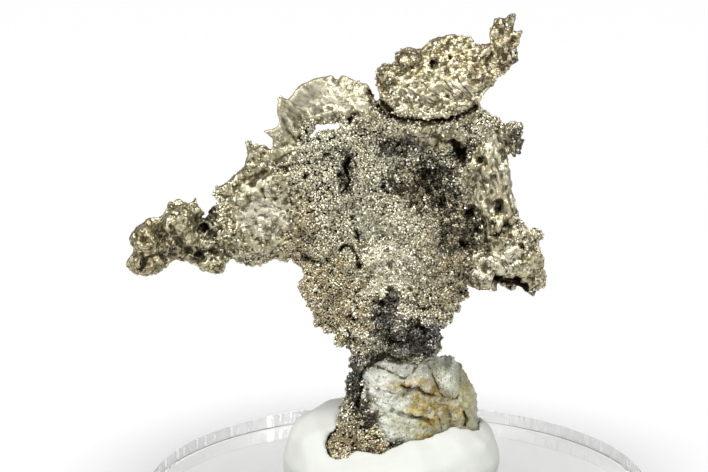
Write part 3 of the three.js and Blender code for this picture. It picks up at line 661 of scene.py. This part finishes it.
# Creases, crevices and pits of the face, and the few ridges that stand proud of it.
FRONT_MARKS = [
    (
        1.1,
        0.45,
        [(-2.6, 50.6), (-1.5, 49.7), (-0.5, 49.3), (2.2, 49.3), (5.0, 49.5), (6.8, 50.2), (8.4, 51.2)],
    ),
    (1.0, 0.50, [(-3.0, 51.5), (-1.9, 50.9), (-0.9, 50.2)]),
    (0.8, 0.90, [(-1.9, 47.2), (-1.3, 46.2)]),
    (0.8, 1.30, [(2.7, 44.2), (4.1, 42.3), (5.2, 40.6)]),
    (1.0, 0.35, [(-5.6, 44.1), (-5.9, 42.8), (-5.7, 41.5), (-6.3, 40.6)]),
    (0.7, 0.28, [(-10.5, 42.3)]),
    (0.8, 0.30, [(-1.9, 41.2)]),
    (0.7, 0.22, [(-1.4, 40.8)]),
    (0.7, 0.22, [(-8.1, 36.5)]),
    (0.7, 0.24, [(-7.1, 35.9)]),
    (0.9, 0.30, [(-6.6, 42.5), (-6.8, 42.0)]),
    (0.6, 0.25, [(-8.4, 41.7), (-7.9, 41.0)]),
    (0.8, 0.20, [(-5.3, 37.6), (-4.9, 37.0), (-4.9, 36.4), (-4.8, 35.6)]),
    (0.8, 0.36, [(-4.7, 35.2)]),
    (0.8, 0.30, [(-6.6, 34.0), (-5.8, 34.3), (-4.9, 33.5), (-4.6, 32.6)]),
    (0.9, 0.45, [(-4.5, 32.1)]),
    (0.9, 0.42, [(11.1, 39.6)]),
    (0.8, 0.35, [(7.7, 38.8)]),
    (1.1, 0.45, [(8.3, 36.9), (8.8, 36.6)]),
    (0.8, 0.35, [(10.4, 36.6), (11.2, 37.0), (12.0, 37.8)]),
    (0.7, 0.35, [(13.6, 35.3)]),
    (0.8, 0.55, [(6.1, 47.0), (6.4, 45.9), (7.0, 45.1)]),
    (0.9, 0.60, [(7.4, 31.4), (7.9, 31.0)]),
    (1.5, 0.59, [(10.8, 31.6), (11.8, 30.5), (12.9, 30.9), (14.0, 30.5)]),
    (1.2, 0.50, [(11.6, 31.2), (13.2, 31.6)]),
    (1.3, 0.55, [(11.6, 30.0), (13.2, 29.9)]),
    (-0.6, 0.40, [(7.7, 33.0), (8.7, 34.2), (10.0, 33.9), (11.3, 33.0)]),
    (-0.5, 0.35, [(8.4, 32.3), (9.6, 31.9)]),
    (0.7, 0.45, [(-2.6, 27.7), (-1.7, 26.8), (-2.4, 26.2), (-1.6, 25.6)]),
    (0.8, 0.30, [(-5.5, 26.2), (-4.6, 26.1)]),
    (0.9, 0.40, [(-1.2, 24.5), (0.1, 24.1)]),
    (0.9, 0.35, [(1.3, 25.8), (2.9, 25.4)]),
    (0.7, 0.50, [(-10.5, 32.6), (-9.1, 32.4), (-8.3, 32.6)]),
    (0.8, 0.40, [(-23.1, 37.4), (-21.6, 37.4), (-20.7, 38.3)]),
    (0.7, 0.45, [(-21.8, 35.9), (-20.9, 35.4)]),
    (0.6, 0.30, [(-25.3, 37.1), (-24.9, 35.6), (-24.3, 34.4), (-23.4, 33.6)]),
    (
        0.7,
        0.30,
        [
            (-6.9, 45.2), (-8.3, 44.3), (-9.8, 43.5), (-11.1, 43.4),
            (-12.3, 43.1), (-13.6, 42.9), (-15.0, 42.4), (-16.4, 41.4),
        ],
    ),
    (0.6, 0.25, [(-6.2, 43.7), (-5.7, 42.8), (-5.3, 42.0)]),
    (0.6, 0.30, [(-15.0, 39.9), (-15.3, 40.8)]),
    (0.8, 0.35, [(-5.6, 48.3), (-4.8, 49.2)]),
    (0.6, 0.30, [(-10.4, 46.6), (-9.9, 45.9)]),
    (0.8, 0.40, [(6.7, 45.6), (7.3, 46.2)]),
    (0.7, 0.40, [(8.9, 45.2)]),
    (0.7, 0.25, [(-29.4, 36.3), (-28.2, 35.9), (-26.7, 35.7)]),
    (0.7, 0.28, [(-28.8, 34.0), (-28.5, 32.6), (-28.9, 31.6)]),
    (0.8, 0.30, [(-22.6, 33.4), (-22.0, 33.0)]),
    (0.8, 0.35, [(-7.1, 53.0), (-7.0, 52.5)]),
    (0.9, 0.38, [(3.6, 55.4)]),
    (0.5, 0.22, [(5.5, 56.3)]),
    (0.5, 0.20, [(1.4, 54.9)]),
    (0.6, 0.24, [(4.6, 52.8), (5.2, 52.4)]),
    (-0.3, 0.40, [(11.4, 59.7)]),
    (0.4, 0.25, [(12.5, 58.0), (12.1, 57.0)]),
    (0.4, 0.25, [(11.3, 56.9), (11.6, 56.2)]),
    (0.5, 0.30, [(9.6, 55.8), (10.0, 56.6)]),
    (0.3, 0.25, [(-17.1, 41.7), (-15.3, 42.7), (-14.2, 43.4), (-13.0, 44.0), (-12.3, 44.6)]),
    (0.6, 0.30, [(-11.1, 46.0), (-9.1, 45.3), (-7.7, 44.2)]),
    (0.5, 0.30, [(-10.2, 46.9), (-8.3, 46.2), (-6.0, 46.9)]),
    (-0.5, 0.50, [(9.6, 46.4), (10.5, 44.2), (11.6, 41.6)]),
    (-0.5, 0.35, [(12.0, 40.4), (12.3, 38.6), (12.9, 36.8)]),
    (-0.5, 0.40, [(9.2, 39.8), (10.1, 38.6)]),
    (-0.5, 0.35, [(8.7, 46.6), (9.2, 44.9), (9.9, 43.0)]),
    (-0.5, 0.35, [(10.8, 45.8), (11.4, 44.4), (11.9, 42.8)]),
    (-0.4, 0.30, [(9.6, 42.2), (10.1, 40.6)]),
    (-0.4, 0.40, [(12.2, 43.4), (12.3, 40.4), (12.8, 38.4)]),
    (-0.3, 0.30, [(-13.6, 50.4), (-12.4, 48.2), (-11.4, 46.6)]),
    (-0.4, 0.50, [(-2.4, 51.9), (-1.3, 50.9), (1.2, 50.2), (4.6, 50.4), (7.0, 51.3)]),
    (-0.25, 0.30, [(-9.8, 48.3), (-7.7, 49.0), (-5.8, 49.6)]),
]

SLOT = (-8.0, 47.9)  # the daylight under the thin leaf
SLOT_REACH = 2.0  # how far its rim is thickened, and kept from tearing

silver = merged_copy("native_silver", "silver_sheet")
voxel_remesh(silver, 0.15 * MM, 2)
surface = points_of(silver)
foil = patches(surface, FOIL)
as_group(silver, "lumpy", np.clip(1 - 0.75 * foil, 0, 1))
displace(silver, pattern("lumps", "CLOUDS", 2.2 * MM, noise_depth=1), 1.3 * MM, group="lumpy")
carve(silver, FRONT_MARKS)
voxel_remesh(silver, 0.14 * MM, 1)

surface = points_of(silver)
leaf = patches(surface, LEAF)
draped = patches(surface, DRAPED)
crinkled = patches(surface, CRINKLED)
knotted = patches(surface, KNOTTED)
hackly = np.clip(patches(surface, HACKLY) - leaf - draped - crinkled - knotted, 0, 1)
foil = np.max([leaf, draped, crinkled, knotted, hackly], axis=0)
from_slot = np.hypot(surface[:, 0] - SLOT[0], surface[:, 2] - SLOT[1])
rimmed = np.clip(1.6 - from_slot / SLOT_REACH, 0, 1)
groups = {
    "leafy": leaf,
    "draped": draped,
    "crinkled": crinkled,
    "knotted": np.maximum(knotted, patches(surface, LUMPED)),
    "hackly": hackly,
    "granular": (1 - foil) * (1 - 0.65 * patches(surface, STREAKED, edge=0.6, raggedness=0.6)),
    "rowed": (1 - foil) * patches(surface, ROWED, edge=0.6, raggedness=0.6),
    "torn": (1 - 0.7 * patches(surface, SMOOTH, edge=0.5, raggedness=0.6)) * (1 - 0.8 * rimmed),
    "rimmed": rimmed,
}
for name, weights in groups.items():
    as_group(silver, name, weights)

level = lie_of(12, 1.4)
falling = lie_of(-38, 2.6)
slanted = lie_of(40, 5)
upright = lie_of(98, 1.9)
slot_rim = pattern("slot_rim", "CLOUDS", 0.5 * MM, noise_depth=0)
displace(silver, slot_rim, 0.6 * MM, middle=0, group="rimmed")
knots = pattern("knots", "VORONOI", 1.7 * MM, distance_metric="DISTANCE", weight_1=-1, weight_2=1)
displace(silver, knots, 0.75 * MM, middle=0.15, group="knotted")
drapes = pattern("drapes", "CLOUDS", 1.4 * MM, noise_depth=1)
displace(silver, drapes, 0.8 * MM, group="draped", guide=upright)
crinkles = pattern("crinkles", "VORONOI", 1.3 * MM, distance_metric="DISTANCE", weight_1=-1, weight_2=1)
displace(silver, crinkles, -0.9 * MM, middle=0.4, group="crinkled")
crumple = pattern("crumple", "VORONOI", 1.1 * MM, distance_metric="DISTANCE", weight_1=-1, weight_2=1)
displace(silver, crumple, -0.5 * MM, middle=0.4, group="hackly", guide=level)
hackles = pattern("hackles", "CLOUDS", 0.6 * MM, noise_depth=2)
displace(silver, hackles, 0.4 * MM, group="hackly", guide=level)
displace(silver, hackles, 0.25 * MM, group="knotted")
displace(silver, hackles, 0.4 * MM, group="crinkled")
displace(silver, hackles, 0.5 * MM, group="draped", guide=upright)
ripples = pattern("ripples", "CLOUDS", 0.7 * MM, noise_depth=1, noise_type="HARD_NOISE")
displace(silver, ripples, -0.12 * MM, middle=0.3, group="leafy", guide=falling)
rows = pattern("rows", "CLOUDS", 0.55 * MM, noise_depth=1, noise_type="HARD_NOISE")
displace(silver, rows, -0.45 * MM, middle=0.3, group="rowed", guide=slanted)
ragged = pattern("ragged", "CLOUDS", 0.6 * MM, noise_depth=1, cloud_type="COLOR")
displace(silver, ragged, 0.25 * MM, group="torn", direction="RGB_TO_XYZ")
clods = pattern("clods", "CLOUDS", 1.1 * MM, noise_depth=1, noise_type="HARD_NOISE")
displace(silver, clods, 0.7 * MM, middle=0.35, group="granular")
crumbs = pattern("crumbs", "CLOUDS", 0.5 * MM, noise_depth=1, noise_type="HARD_NOISE")
displace(silver, crumbs, 0.3 * MM, middle=0.3, group="granular")
for guide in (level, falling, slanted, upright):
    bpy.data.objects.remove(guide)

# Bulges drawn in and hollows let out, to true the torn outline, as nudge takes them.
TRUED = [
    (-28.3, 30.6, 2.4, 1.6, 0, 0.6),
    (-30.2, 34.1, 1.2, 1.2, 0.5, 0),
    (-30.6, 32.2, 1.0, 1.0, -0.4, 0),
    (-14.7, 32.1, 2.4, 0.8, 0, 0.3),
    (-11.4, 30.2, 0.8, 0.8, 0.5, 0),
    (-10.5, 27.1, 1.0, 1.0, 0.5, 0.2),
    (-6.0, 22.1, 1.8, 1.1, 0.2, 0.7),
    (-2.6, 21.6, 1.8, 0.9, 0, 0.7),
    (-6.1, 18.6, 1.2, 2.6, 0.4, 0),
    (5.6, 25.0, 1.0, 1.0, -0.7, 0),
    (5.2, 23.2, 1.2, 1.5, -0.6, 0),
    (7.5, 28.6, 0.8, 0.8, 0.4, -0.3),
    (9.6, 29.1, 1.4, 0.8, 0, 0.9),
    (12.4, 29.4, 1.2, 0.7, 0, -0.3),
    (16.3, 29.7, 1.6, 1.8, -0.9, 0.4),
    (14.1, 46.2, 1.0, 1.9, -0.6, 0),
    (9.8, 51.2, 1.0, 1.1, -0.8, 0),
    (11.4, 53.4, 0.9, 0.9, -0.4, 0.2),
    (12.7, 41.9, 0.8, 2.6, -0.3, 0),
    (5.3, 59.2, 3.2, 1.1, 0, -0.4),
    (0.7, 57.4, 2.0, 0.8, 0, -0.3),
    (-2.7, 54.7, 0.7, 1.6, 0.3, 0),
    (-9.4, 53.9, 1.8, 0.9, 0, -0.5),
    (-7.7, 23.2, 0.8, 0.8, 0.4, 0),
    (-17.8, 43.6, 0.8, 2.0, 0.3, -0.1),
    (12.6, 60.2, 2.2, 1.8, -0.35, 0),
    (-15.2, 47.8, 1.0, 1.0, -0.25, 0.1),
    (-14.0, 50.6, 0.8, 1.6, -0.2, 0),
]
nudge(silver, TRUED)

MOST_TRIANGLES = 190000
triangles = sum(len(face.vertices) - 2 for face in silver.data.polygons)
thinning = silver.modifiers.new("thinning", "DECIMATE")
thinning.ratio = min(1, MOST_TRIANGLES / triangles)
apply_modifiers(silver)

# Where the silver is tarnished black, gilt, pale and blued, where light is painted on, and where shade is
# painted black, as patches takes them.
TARNISH_AND_SHADE = [
    (4.0, 42.3, 2.2, 2.9),
    (-0.7, 45.8, 1.4, 1.5),
    (2.0, 24.2, 2.8, 1.5),
    (-1.4, 25.2, 1.1, 1.7),
    (7.2, 36.6, 2.3, 2.4),
    (13.1, 47.2, 1.2, 1.8),
    (13.4, 45.9, 1.3, 0.8),
    # painted shade: blackens the hollow under the crinkled foot
    (12.4, 30.8, 1.7, 0.8),
    (6.5, 46.2, 1.2, 1.8),
    (-5.9, 42.3, 0.7, 2.2),
    (-20.9, 36.0, 1.0, 1.4),
    (-5.0, 18.5, 1.6, 3.0),
    (0.6, 41.6, 1.6, 1.3),
    (-25.6, 33.6, 1.0, 0.8),
    (-22.2, 33.8, 1.4, 0.7),
    (7.6, 31.4, 0.9, 1.0),
    (12.4, 56.2, 0.7, 1.4),
    (11.4, 59.6, 0.3, 0.3),
]
GILT = [
    (-8.3, 29.0, 3.4, 4.4),
    (6.4, 34.6, 2.2, 5.0),
    (-28.4, 34.6, 2.4, 2.8),
    (-4.5, 12.5, 4.0, 3.5),
    (-11.0, 36.2, 1.6, 2.4),
    (1.4, 41.0, 1.8, 1.6),
    (0.6, 56.4, 2.0, 1.3),
    (5.4, 55.4, 4.6, 2.2),
    (-2.2, 53.2, 1.2, 1.8),
    (-13.9, 50.2, 0.6, 1.4),
    (11.2, 57.0, 1.8, 3.0),
    (10.6, 41.0, 1.6, 3.6),
]
PALE = [(-3.4, 36.4, 1.6, 1.6), (-4.7, 38.6, 0.6, 0.9), (-2.0, 44.6, 2.4, 2.0), (-9.0, 45.6, 3.2, 1.6)]
# Patches of painted light: places lightened as if they caught more of the lamps.
PAINTED_LIGHT = [
    (-14.6, 38.0, 2.6, 2.0),
    (-1.2, 33.2, 2.2, 2.2),
    (-1.8, 30.4, 3.6, 2.2),
    (9.6, 33.0, 2.8, 1.8),
    (12.6, 33.6, 1.6, 1.4),
    (10.6, 42.6, 1.8, 4.2),
]
BLUED = [(-1.6, 27.0, 1.8, 1.2), (2.6, 24.2, 3.0, 2.0), (1.4, 46.6, 1.2, 1.2), (-4.6, 19.0, 1.2, 2.0)]

surface = points_of(silver)
front = normals_of(silver)[:, 1] < 0
foil = patches(surface, FOIL)
CLEFT_DEPTH = 0.75  # only pits, and the marks deeper and narrower than this, stay black inside
CLEFT_WIDTH = 0.6
NARROW = 0.5  # a crack narrower than this has mostly grown shut
WIDE_OPEN = 0.75  # how much of a pit or crack is black
HALF_SHUT = 0.35
BARE_RIM = 0.02  # no grain sits nearer to a cleft than this, in millimetres
THIN_RIM = 0.12  # how far past that they are still sparse
drifted = surface + MARK_WOBBLE * drift_of(surface, MARK_BENDS, 5)
drifted += 0.06 * drift_of(surface, 0.25, 8)
from_cleft = np.ones(len(surface))
for depth, half_width, path in FRONT_MARKS:
    is_pit = depth > 0 and len(path) == 1
    if half_width < CLEFT_WIDTH and (is_pit or depth > CLEFT_DEPTH):
        opening = WIDE_OPEN if is_pit or half_width >= NARROW else HALF_SHUT
        to_edge = away_from(drifted, path) - opening * half_width
        from_cleft = np.minimum(from_cleft, np.where(front, to_edge, 1))
grainy = np.clip(1.15 * (1 - foil), 0, 1) * (1 - 0.2 * patches(surface, STREAKED, edge=0.6, raggedness=0.8))
grainy *= np.clip((from_cleft - BARE_RIM) / THIN_RIM, 0, 1)
cover = {
    "beaten": foil,
    "upright": patches(surface, DRAPED),
    "streaked": patches(surface, STREAKED, edge=0.6, raggedness=0.6),
    "smooth": patches(surface, SMOOTH, edge=0.5, raggedness=0.6),
    "to_cleft": from_cleft,
    "grains_front": grainy * front,
    "grains_back": grainy * ~front,
    "tarnish_and_shade": patches(surface, TARNISH_AND_SHADE, edge=0.7, raggedness=0.9, size=1.3),
    "gilt": patches(surface, GILT, edge=0.7, raggedness=1.1, size=1.5),
    "bright": patches(surface, PAINTED_LIGHT, edge=0.6, raggedness=1.0),
    "pale": patches(surface, PALE, edge=0.5, raggedness=0.9),
    "blued": patches(surface, BLUED, edge=0.6, raggedness=1.0),
    "groove": np.clip(0.5 + hollowness(silver, 3) / 0.16, 0, 1),
    "dip": np.clip(0.5 + hollowness(silver, 9) / 0.5, 0, 1),
    "hollow": np.clip(0.5 + hollowness(silver, 24) / 1.0, 0, 1),
}
for name, values in cover.items():
    as_attribute(silver, name, values)
bpy.ops.object.shade_smooth()


def silver_tints(tree, colour, tone):
    """Lays the warm, the pale, the blued and the tarnished patches, the last also painted shade, and patches
    of painted light, over a silver colour, broken up by a random tone.
    """

    def patch(name, shade, amount, spread):
        nonlocal colour
        cover = attribute(tree, name)
        uneven = maths(tree, "MULTIPLY", maths(tree, "SUBTRACT", tone[name], 0.5), spread)
        shifted = maths(tree, "ADD", cover, uneven)
        most = ramp(tree, cover, 0.02, 0.25, 0, amount)
        broken = maths(tree, "MULTIPLY", ramp(tree, shifted, 0.3, 0.7), most)
        colour = mix_colour(tree, broken, colour, shade)

    # painted light
    patch("bright", "#e8e4d0", 0.65, 0.6)
    patch("pale", "#c2c2ae", 0.5, 0.8)
    patch("blued", "#6a6570", 0.75, 1.3)
    patch("gilt", "#a3916a", 0.6, 1.6)
    # tarnish, and painted shade where it blackens the foot's hollow
    patch("tarnish_and_shade", "#35332a", 0.85, 1.3)
    return colour


def facets_of(tree, place, size, slope):
    """Height in metres of a surface broken into flat facets of the given size, each tilted its own way."""
    cells = {"Scale": 1 / size}
    cells = add_node(tree, "ShaderNodeTexVoronoi", {"feature": "F1"}, cells, {"Vector": place}).outputs
    across = {0: place, 1: cells["Position"]}
    across = add_node(tree, "ShaderNodeVectorMath", {"operation": "SUBTRACT"}, links=across).outputs[0]
    tilt = {1: (2 * slope,) * 3, 2: (-slope,) * 3}
    own = {0: cells["Color"]}
    tilt = add_node(tree, "ShaderNodeVectorMath", {"operation": "MULTIPLY_ADD"}, tilt, own).outputs[0]
    rise = {0: across, 1: tilt}
    rise = add_node(tree, "ShaderNodeVectorMath", {"operation": "DOT_PRODUCT"}, links=rise)
    return rise.outputs["Value"]


def lying_along(turn, stretch):
    """The object's coordinates, for patterns drawn out along a direction of the face, degrees below +X."""
    lie = {"Rotation": (0, radians(turn), 0), "Scale": (stretch, 1, 1)}
    lie = add_node(native, "ShaderNodeMapping", {"vector_type": "TEXTURE"}, lie, {"Vector": place})
    return lie.outputs["Vector"]


def mix_vector(tree, amount, first, second):
    node = add_node(tree, "ShaderNodeMix", {"data_type": "VECTOR"}, links={0: amount, 4: first, 5: second})
    return node.outputs[1]


def creases_of(tree, place, size, width, share):
    """Thin crooked lines along the borders of cells of the given size, on about that share of the surface."""
    swerve = {"Scale": 1.4 / size}
    swerve = add_node(tree, "ShaderNodeTexNoise", None, swerve, {"Vector": place}).outputs["Color"]
    push = {1: (0.9 * size,) * 3}
    crooked = {"operation": "MULTIPLY_ADD"}
    crooked = add_node(tree, "ShaderNodeVectorMath", crooked, push, {0: swerve, 2: place}).outputs[0]
    border = {"feature": "DISTANCE_TO_EDGE"}
    border = add_node(tree, "ShaderNodeTexVoronoi", border, {"Scale": 1 / size}, {"Vector": crooked})
    line = ramp(tree, border.outputs["Distance"], width, 0.3 * width)
    least = 0.48 + 0.2 * (0.5 - share)
    kept = ramp(tree, noise_of(tree, place, 1.5 * size, Detail=1), least, least + 0.08)
    return maths(tree, "MULTIPLY", line, kept)


# Silver as it grew, never polished: bright cream-white where it is clean, khaki where the film on it is thin.
# Its crests and rims carry painted highlights, and its creases, pits and hollows painted shade along with
# their tarnish.
native, silver_shader = new_material("native_silver")
place = add_node(native, "ShaderNodeTexCoord").outputs["Object"]
upward = maths(native, "GREATER_THAN", attribute(native, "upright"), 0.5)
slanting = maths(native, "GREATER_THAN", attribute(native, "streaked"), 0.5)
drawn_out = mix_vector(native, upward, place, lying_along(84, 2))
drawn_out = mix_vector(native, slanting, drawn_out, lying_along(38, 4))
offset = {1: (7.3 * MM, 2.1 * MM, 5.7 * MM)}
shifted = add_node(native, "ShaderNodeVectorMath", {"operation": "ADD"}, offset, {0: drawn_out}).outputs[0]
beaten = attribute(native, "beaten")
mottle = noise_of(native, place, 1.6 * MM, Detail=4)
tone, _ = cells_of(native, place, 0.33 * MM)
clean = mix_colour(native, ramp(native, mottle, 0.35, 0.65), "#8c8364", "#beb692")
brushed = attribute(native, "streaked")
stroke = ramp(native, noise_of(native, drawn_out, 0.3 * MM, Detail=2), 0.4, 0.6)
stroke = mix_colour(native, stroke, "#858067", "#dcd7c0")
clean = mix_colour(native, maths(native, "MULTIPLY", brushed, 0.6), clean, stroke)
smooth = attribute(native, "smooth")
clean = mix_colour(native, maths(native, "MULTIPLY", smooth, 0.7), clean, "#949180")
ground = mix_colour(native, tone["X"], "#6d6450", "#b3aa8c")
ground = mix_colour(native, maths(native, "MULTIPLY", brushed, 0.75), ground, stroke)
colour = mix_colour(native, beaten, ground, clean)
tones = {"bright": tone["Y"], "pale": tone["X"], "blued": tone["Y"], "gilt": tone["Y"], "tarnish_and_shade": tone["Z"]}
colour = silver_tints(native, colour, tones)
# Painted highlight: the foil's raised crests are lightened as if they caught the lamps.
crest_highlight = maths(native, "MULTIPLY", beaten, ramp(native, attribute(native, "groove"), 0.42, 0.15, 0, 0.3))
colour = mix_colour(native, crest_highlight, colour, "#f0e8cb")
# Painted shade, with the tarnish: this mask darkens creases, grooves, dips, broad hollows and the black
# insides of pits and clefts.
grime_and_shade_depth = maths(native, "SUBTRACT", 1, maths(native, "MULTIPLY", beaten, 0.3))
groove = ramp(native, attribute(native, "groove"), 0.58, 0.88, 0, 1.0)
hollow = ramp(native, attribute(native, "hollow"), 0.68, 1.1, 0, 0.85)
grime_and_shade = maths(native, "MULTIPLY", maths(native, "ADD", groove, hollow, clamp=True), grime_and_shade_depth)
grime_and_shade = maths(native, "MULTIPLY", grime_and_shade, maths(native, "SUBTRACT", 1, maths(native, "MULTIPLY", brushed, 0.5)))
dip = maths(native, "SUBTRACT", 1, maths(native, "MULTIPLY", smooth, 0.7))
dip = maths(native, "MULTIPLY", dip, ramp(native, attribute(native, "dip"), 0.6, 0.85, 0, 0.75))
dip = maths(native, "MULTIPLY", dip, ramp(native, attribute(native, "upright"), 0, 1, 1, 0.6))
grime_and_shade = maths(native, "MAXIMUM", grime_and_shade, maths(native, "MULTIPLY", dip, beaten))
fold_share = maths(native, "MULTIPLY", brushed, 0.8)
fold_share = maths(native, "MAXIMUM", ramp(native, beaten, 0, 1, 0.3, 0.8), fold_share)
fold_share = maths(native, "MULTIPLY", fold_share, ramp(native, attribute(native, "upright"), 0, 1, 1, 0.7))
fold_share = maths(native, "MULTIPLY", fold_share, ramp(native, smooth, 0, 1, 1, 0.5))
fold = maths(native, "MULTIPLY", creases_of(native, drawn_out, 0.7 * MM, 0.12, 0.6), fold_share)
grime_and_shade = maths(native, "MAXIMUM", grime_and_shade, fold)
# Painted shade: the insides of deep pits and narrow clefts are made black.
frayed = maths(native, "SUBTRACT", noise_of(native, place, 0.3 * MM, Detail=2), 0.5)
frayed = maths(native, "MULTIPLY", frayed, 0.6)
cleft = maths(native, "ADD", attribute(native, "to_cleft"), frayed)
grime_and_shade = maths(native, "MAXIMUM", grime_and_shade, ramp(native, cleft, 0.07, -0.04))
edge_lit = creases_of(native, shifted, 0.7 * MM, 0.12, 0.5)
edge_lit = maths(native, "MULTIPLY", edge_lit, ramp(native, beaten, 0, 1, 0.2, 0.65))
colour = mix_colour(native, edge_lit, colour, "#fff8dc")
colour = mix_colour(native, grime_and_shade, colour, "#2b2418")
native.links.new(colour, silver_shader.inputs["Base Color"])
roughness = maths(native, "ADD", ramp(native, beaten, 0, 1, 0.3, 0.4), maths(native, "MULTIPLY", grime_and_shade, 0.3))
roughness = maths(native, "ADD", roughness, maths(native, "MULTIPLY", smooth, 0.12))
native.links.new(roughness, silver_shader.inputs["Roughness"])
silver_shader.inputs["Metallic"].default_value = 1

ridges = add_node(
    native,
    "ShaderNodeTexNoise",
    {"noise_type": "RIDGED_MULTIFRACTAL", "normalize": True},
    {"Scale": 1 / (0.5 * MM), "Detail": 4, "Roughness": 0.7},
    {"Vector": drawn_out},
).outputs["Fac"]
relief = maths(native, "MULTIPLY", ridges, ramp(native, smooth, 0, 1, 0.13 * MM, 0.05 * MM))
evenness = maths(native, "SUBTRACT", 1, maths(native, "MULTIPLY", smooth, 0.75))
evenness = maths(native, "MULTIPLY", evenness, ramp(native, beaten, 0, 1, 1, 0.55))
facets = maths(native, "MULTIPLY", facets_of(native, drawn_out, 0.32 * MM, 0.5), evenness)
relief = maths(native, "ADD", relief, facets)
bump = add_node(native, "ShaderNodeBump", None, {"Strength": 1.0, "Distance": 1.0}, {"Height": relief})
native.links.new(bump.outputs["Normal"], silver_shader.inputs["Normal"])

silver.data.materials.append(bpy.data.materials["native_silver"])
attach(silver, "root")
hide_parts("native_silver")


# ---- Silver grains ----
# The crust of tiny silver crystals on the plate, the neck and down the rock's side: each about a third of a
# millimetre across, grown on the sheet with dark gaps between them.
def scatter_grains(name, ground, density, spacing, radius, seed):
    """Grows faceted grains on a piece wherever its density attribute says."""
    tree = bpy.data.node_groups.new(name, "GeometryNodeTree")
    tree.interface.new_socket("Sheet", in_out="INPUT", socket_type="NodeSocketGeometry")
    tree.interface.new_socket("Grains", in_out="OUTPUT", socket_type="NodeSocketGeometry")
    sheet = add_node(tree, "NodeGroupInput").outputs[0]
    share = add_node(tree, "GeometryNodeInputNamedAttribute", {"data_type": "FLOAT"}, {"Name": density})
    seats = add_node(
        tree,
        "GeometryNodeDistributePointsOnFaces",
        {"distribute_method": "POISSON"},
        {"Distance Min": spacing, "Density Max": 3 / spacing**2, "Seed": seed},
        {"Mesh": sheet, "Density Factor": share.outputs["Attribute"]},
    ).outputs["Points"]
    grain = {"Radius": radius, "Subdivisions": 1}
    grain = add_node(tree, "GeometryNodeMeshIcoSphere", None, grain).outputs["Mesh"]
    any_way = {1: (6.28, 6.28, 6.28), 8: seed + 1}  # up to a whole turn about each axis
    turn = add_node(tree, "FunctionNodeRandomValue", {"data_type": "FLOAT_VECTOR"}, any_way)
    any_size = {0: (0.6, 0.6, 0.6), 1: (1.4, 1.4, 1.4), 8: seed + 2}
    size = add_node(tree, "FunctionNodeRandomValue", {"data_type": "FLOAT_VECTOR"}, any_size)
    placed = add_node(
        tree,
        "GeometryNodeInstanceOnPoints",
        links={"Points": seats, "Instance": grain, "Rotation": turn.outputs[0], "Scale": size.outputs[0]},
    ).outputs["Instances"]
    tone = add_node(tree, "FunctionNodeRandomValue", {"data_type": "FLOAT"}, {8: seed + 3}).outputs[1]
    toned = add_node(
        tree,
        "GeometryNodeStoreNamedAttribute",
        {"data_type": "FLOAT", "domain": "INSTANCE"},
        {"Name": "tone"},
        {"Geometry": placed, "Value": tone},
    ).outputs[0]
    grains = add_node(tree, "GeometryNodeRealizeInstances", links={"Geometry": toned}).outputs[0]
    add_node(tree, "NodeGroupOutput", links={0: grains})

    piece = bpy.data.objects.new(name, ground.data.copy())
    bpy.context.scene.collection.objects.link(piece)
    piece.modifiers.new(name, "NODES").node_group = tree
    apply_modifiers(piece)
    piece.data.materials.clear()
    bpy.ops.object.shade_flat()
    return piece


# Crystalline silver with clean facets, so each grain glints on its own.
crystalline, grain_shader = new_material("crystalline_silver")
place = add_node(crystalline, "ShaderNodeTexCoord").outputs["Object"]
own_tone = attribute(crystalline, "tone")
other, _ = cells_of(crystalline, place, 0.5 * MM)
colour = mix_colour(crystalline, own_tone, "#c4bfa6", "#fdf9e8")
tones = {"bright": other["X"], "pale": own_tone, "blued": other["X"]}
tones |= {"gilt": other["Y"], "tarnish_and_shade": other["Z"]}
colour = silver_tints(crystalline, colour, tones)
# Grains deep in broad hollows are darkened: tarnish and painted shade.
hollow = ramp(crystalline, attribute(crystalline, "hollow"), 0.62, 1.0, 0, 0.8)
colour = mix_colour(crystalline, hollow, colour, "#2b2418")
crystalline.links.new(colour, grain_shader.inputs["Base Color"])
grain_shader.inputs["Metallic"].default_value = 1
grain_shader.inputs["Roughness"].default_value = 0.42

# Where the crust creeps down the rock's left side.
CREEPING = [
    (-4.0, 14.0, 1.6, 4.4),
    (-2.4, 11.4, 2.6, 1.6),
    (-3.6, 21.6, 1.2, 1.2),
    (0.6, 21.9, 3.2, 0.7),
]
surface = points_of(rock)
creeping = patches(surface, CREEPING, edge=0.3, raggedness=0.9, size=0.9)
as_attribute(rock, "crust", creeping)
as_attribute(rock, "gilt", creeping * 0.6)
as_attribute(rock, "tarnish_and_shade", creeping * np.clip(0.75 + wander_of(surface, 1.1, 2), 0, 1))
for name in ("bright", "pale", "blued", "hollow"):
    as_attribute(rock, name, np.zeros(len(surface)))

for name, ground, density, spacing, radius, seed in (
    ("front_grains", silver, "grains_front", 0.24 * MM, 0.155 * MM, 3),
    ("back_grains", silver, "grains_back", 0.36 * MM, 0.22 * MM, 13),
    ("grains_on_rock", rock, "crust", 0.27 * MM, 0.175 * MM, 23),
):
    grains = scatter_grains(name, ground, density, spacing, radius, seed)
    grains.data.materials.append(bpy.data.materials["crystalline_silver"])
    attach(grains, "root")
    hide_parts("native_silver")
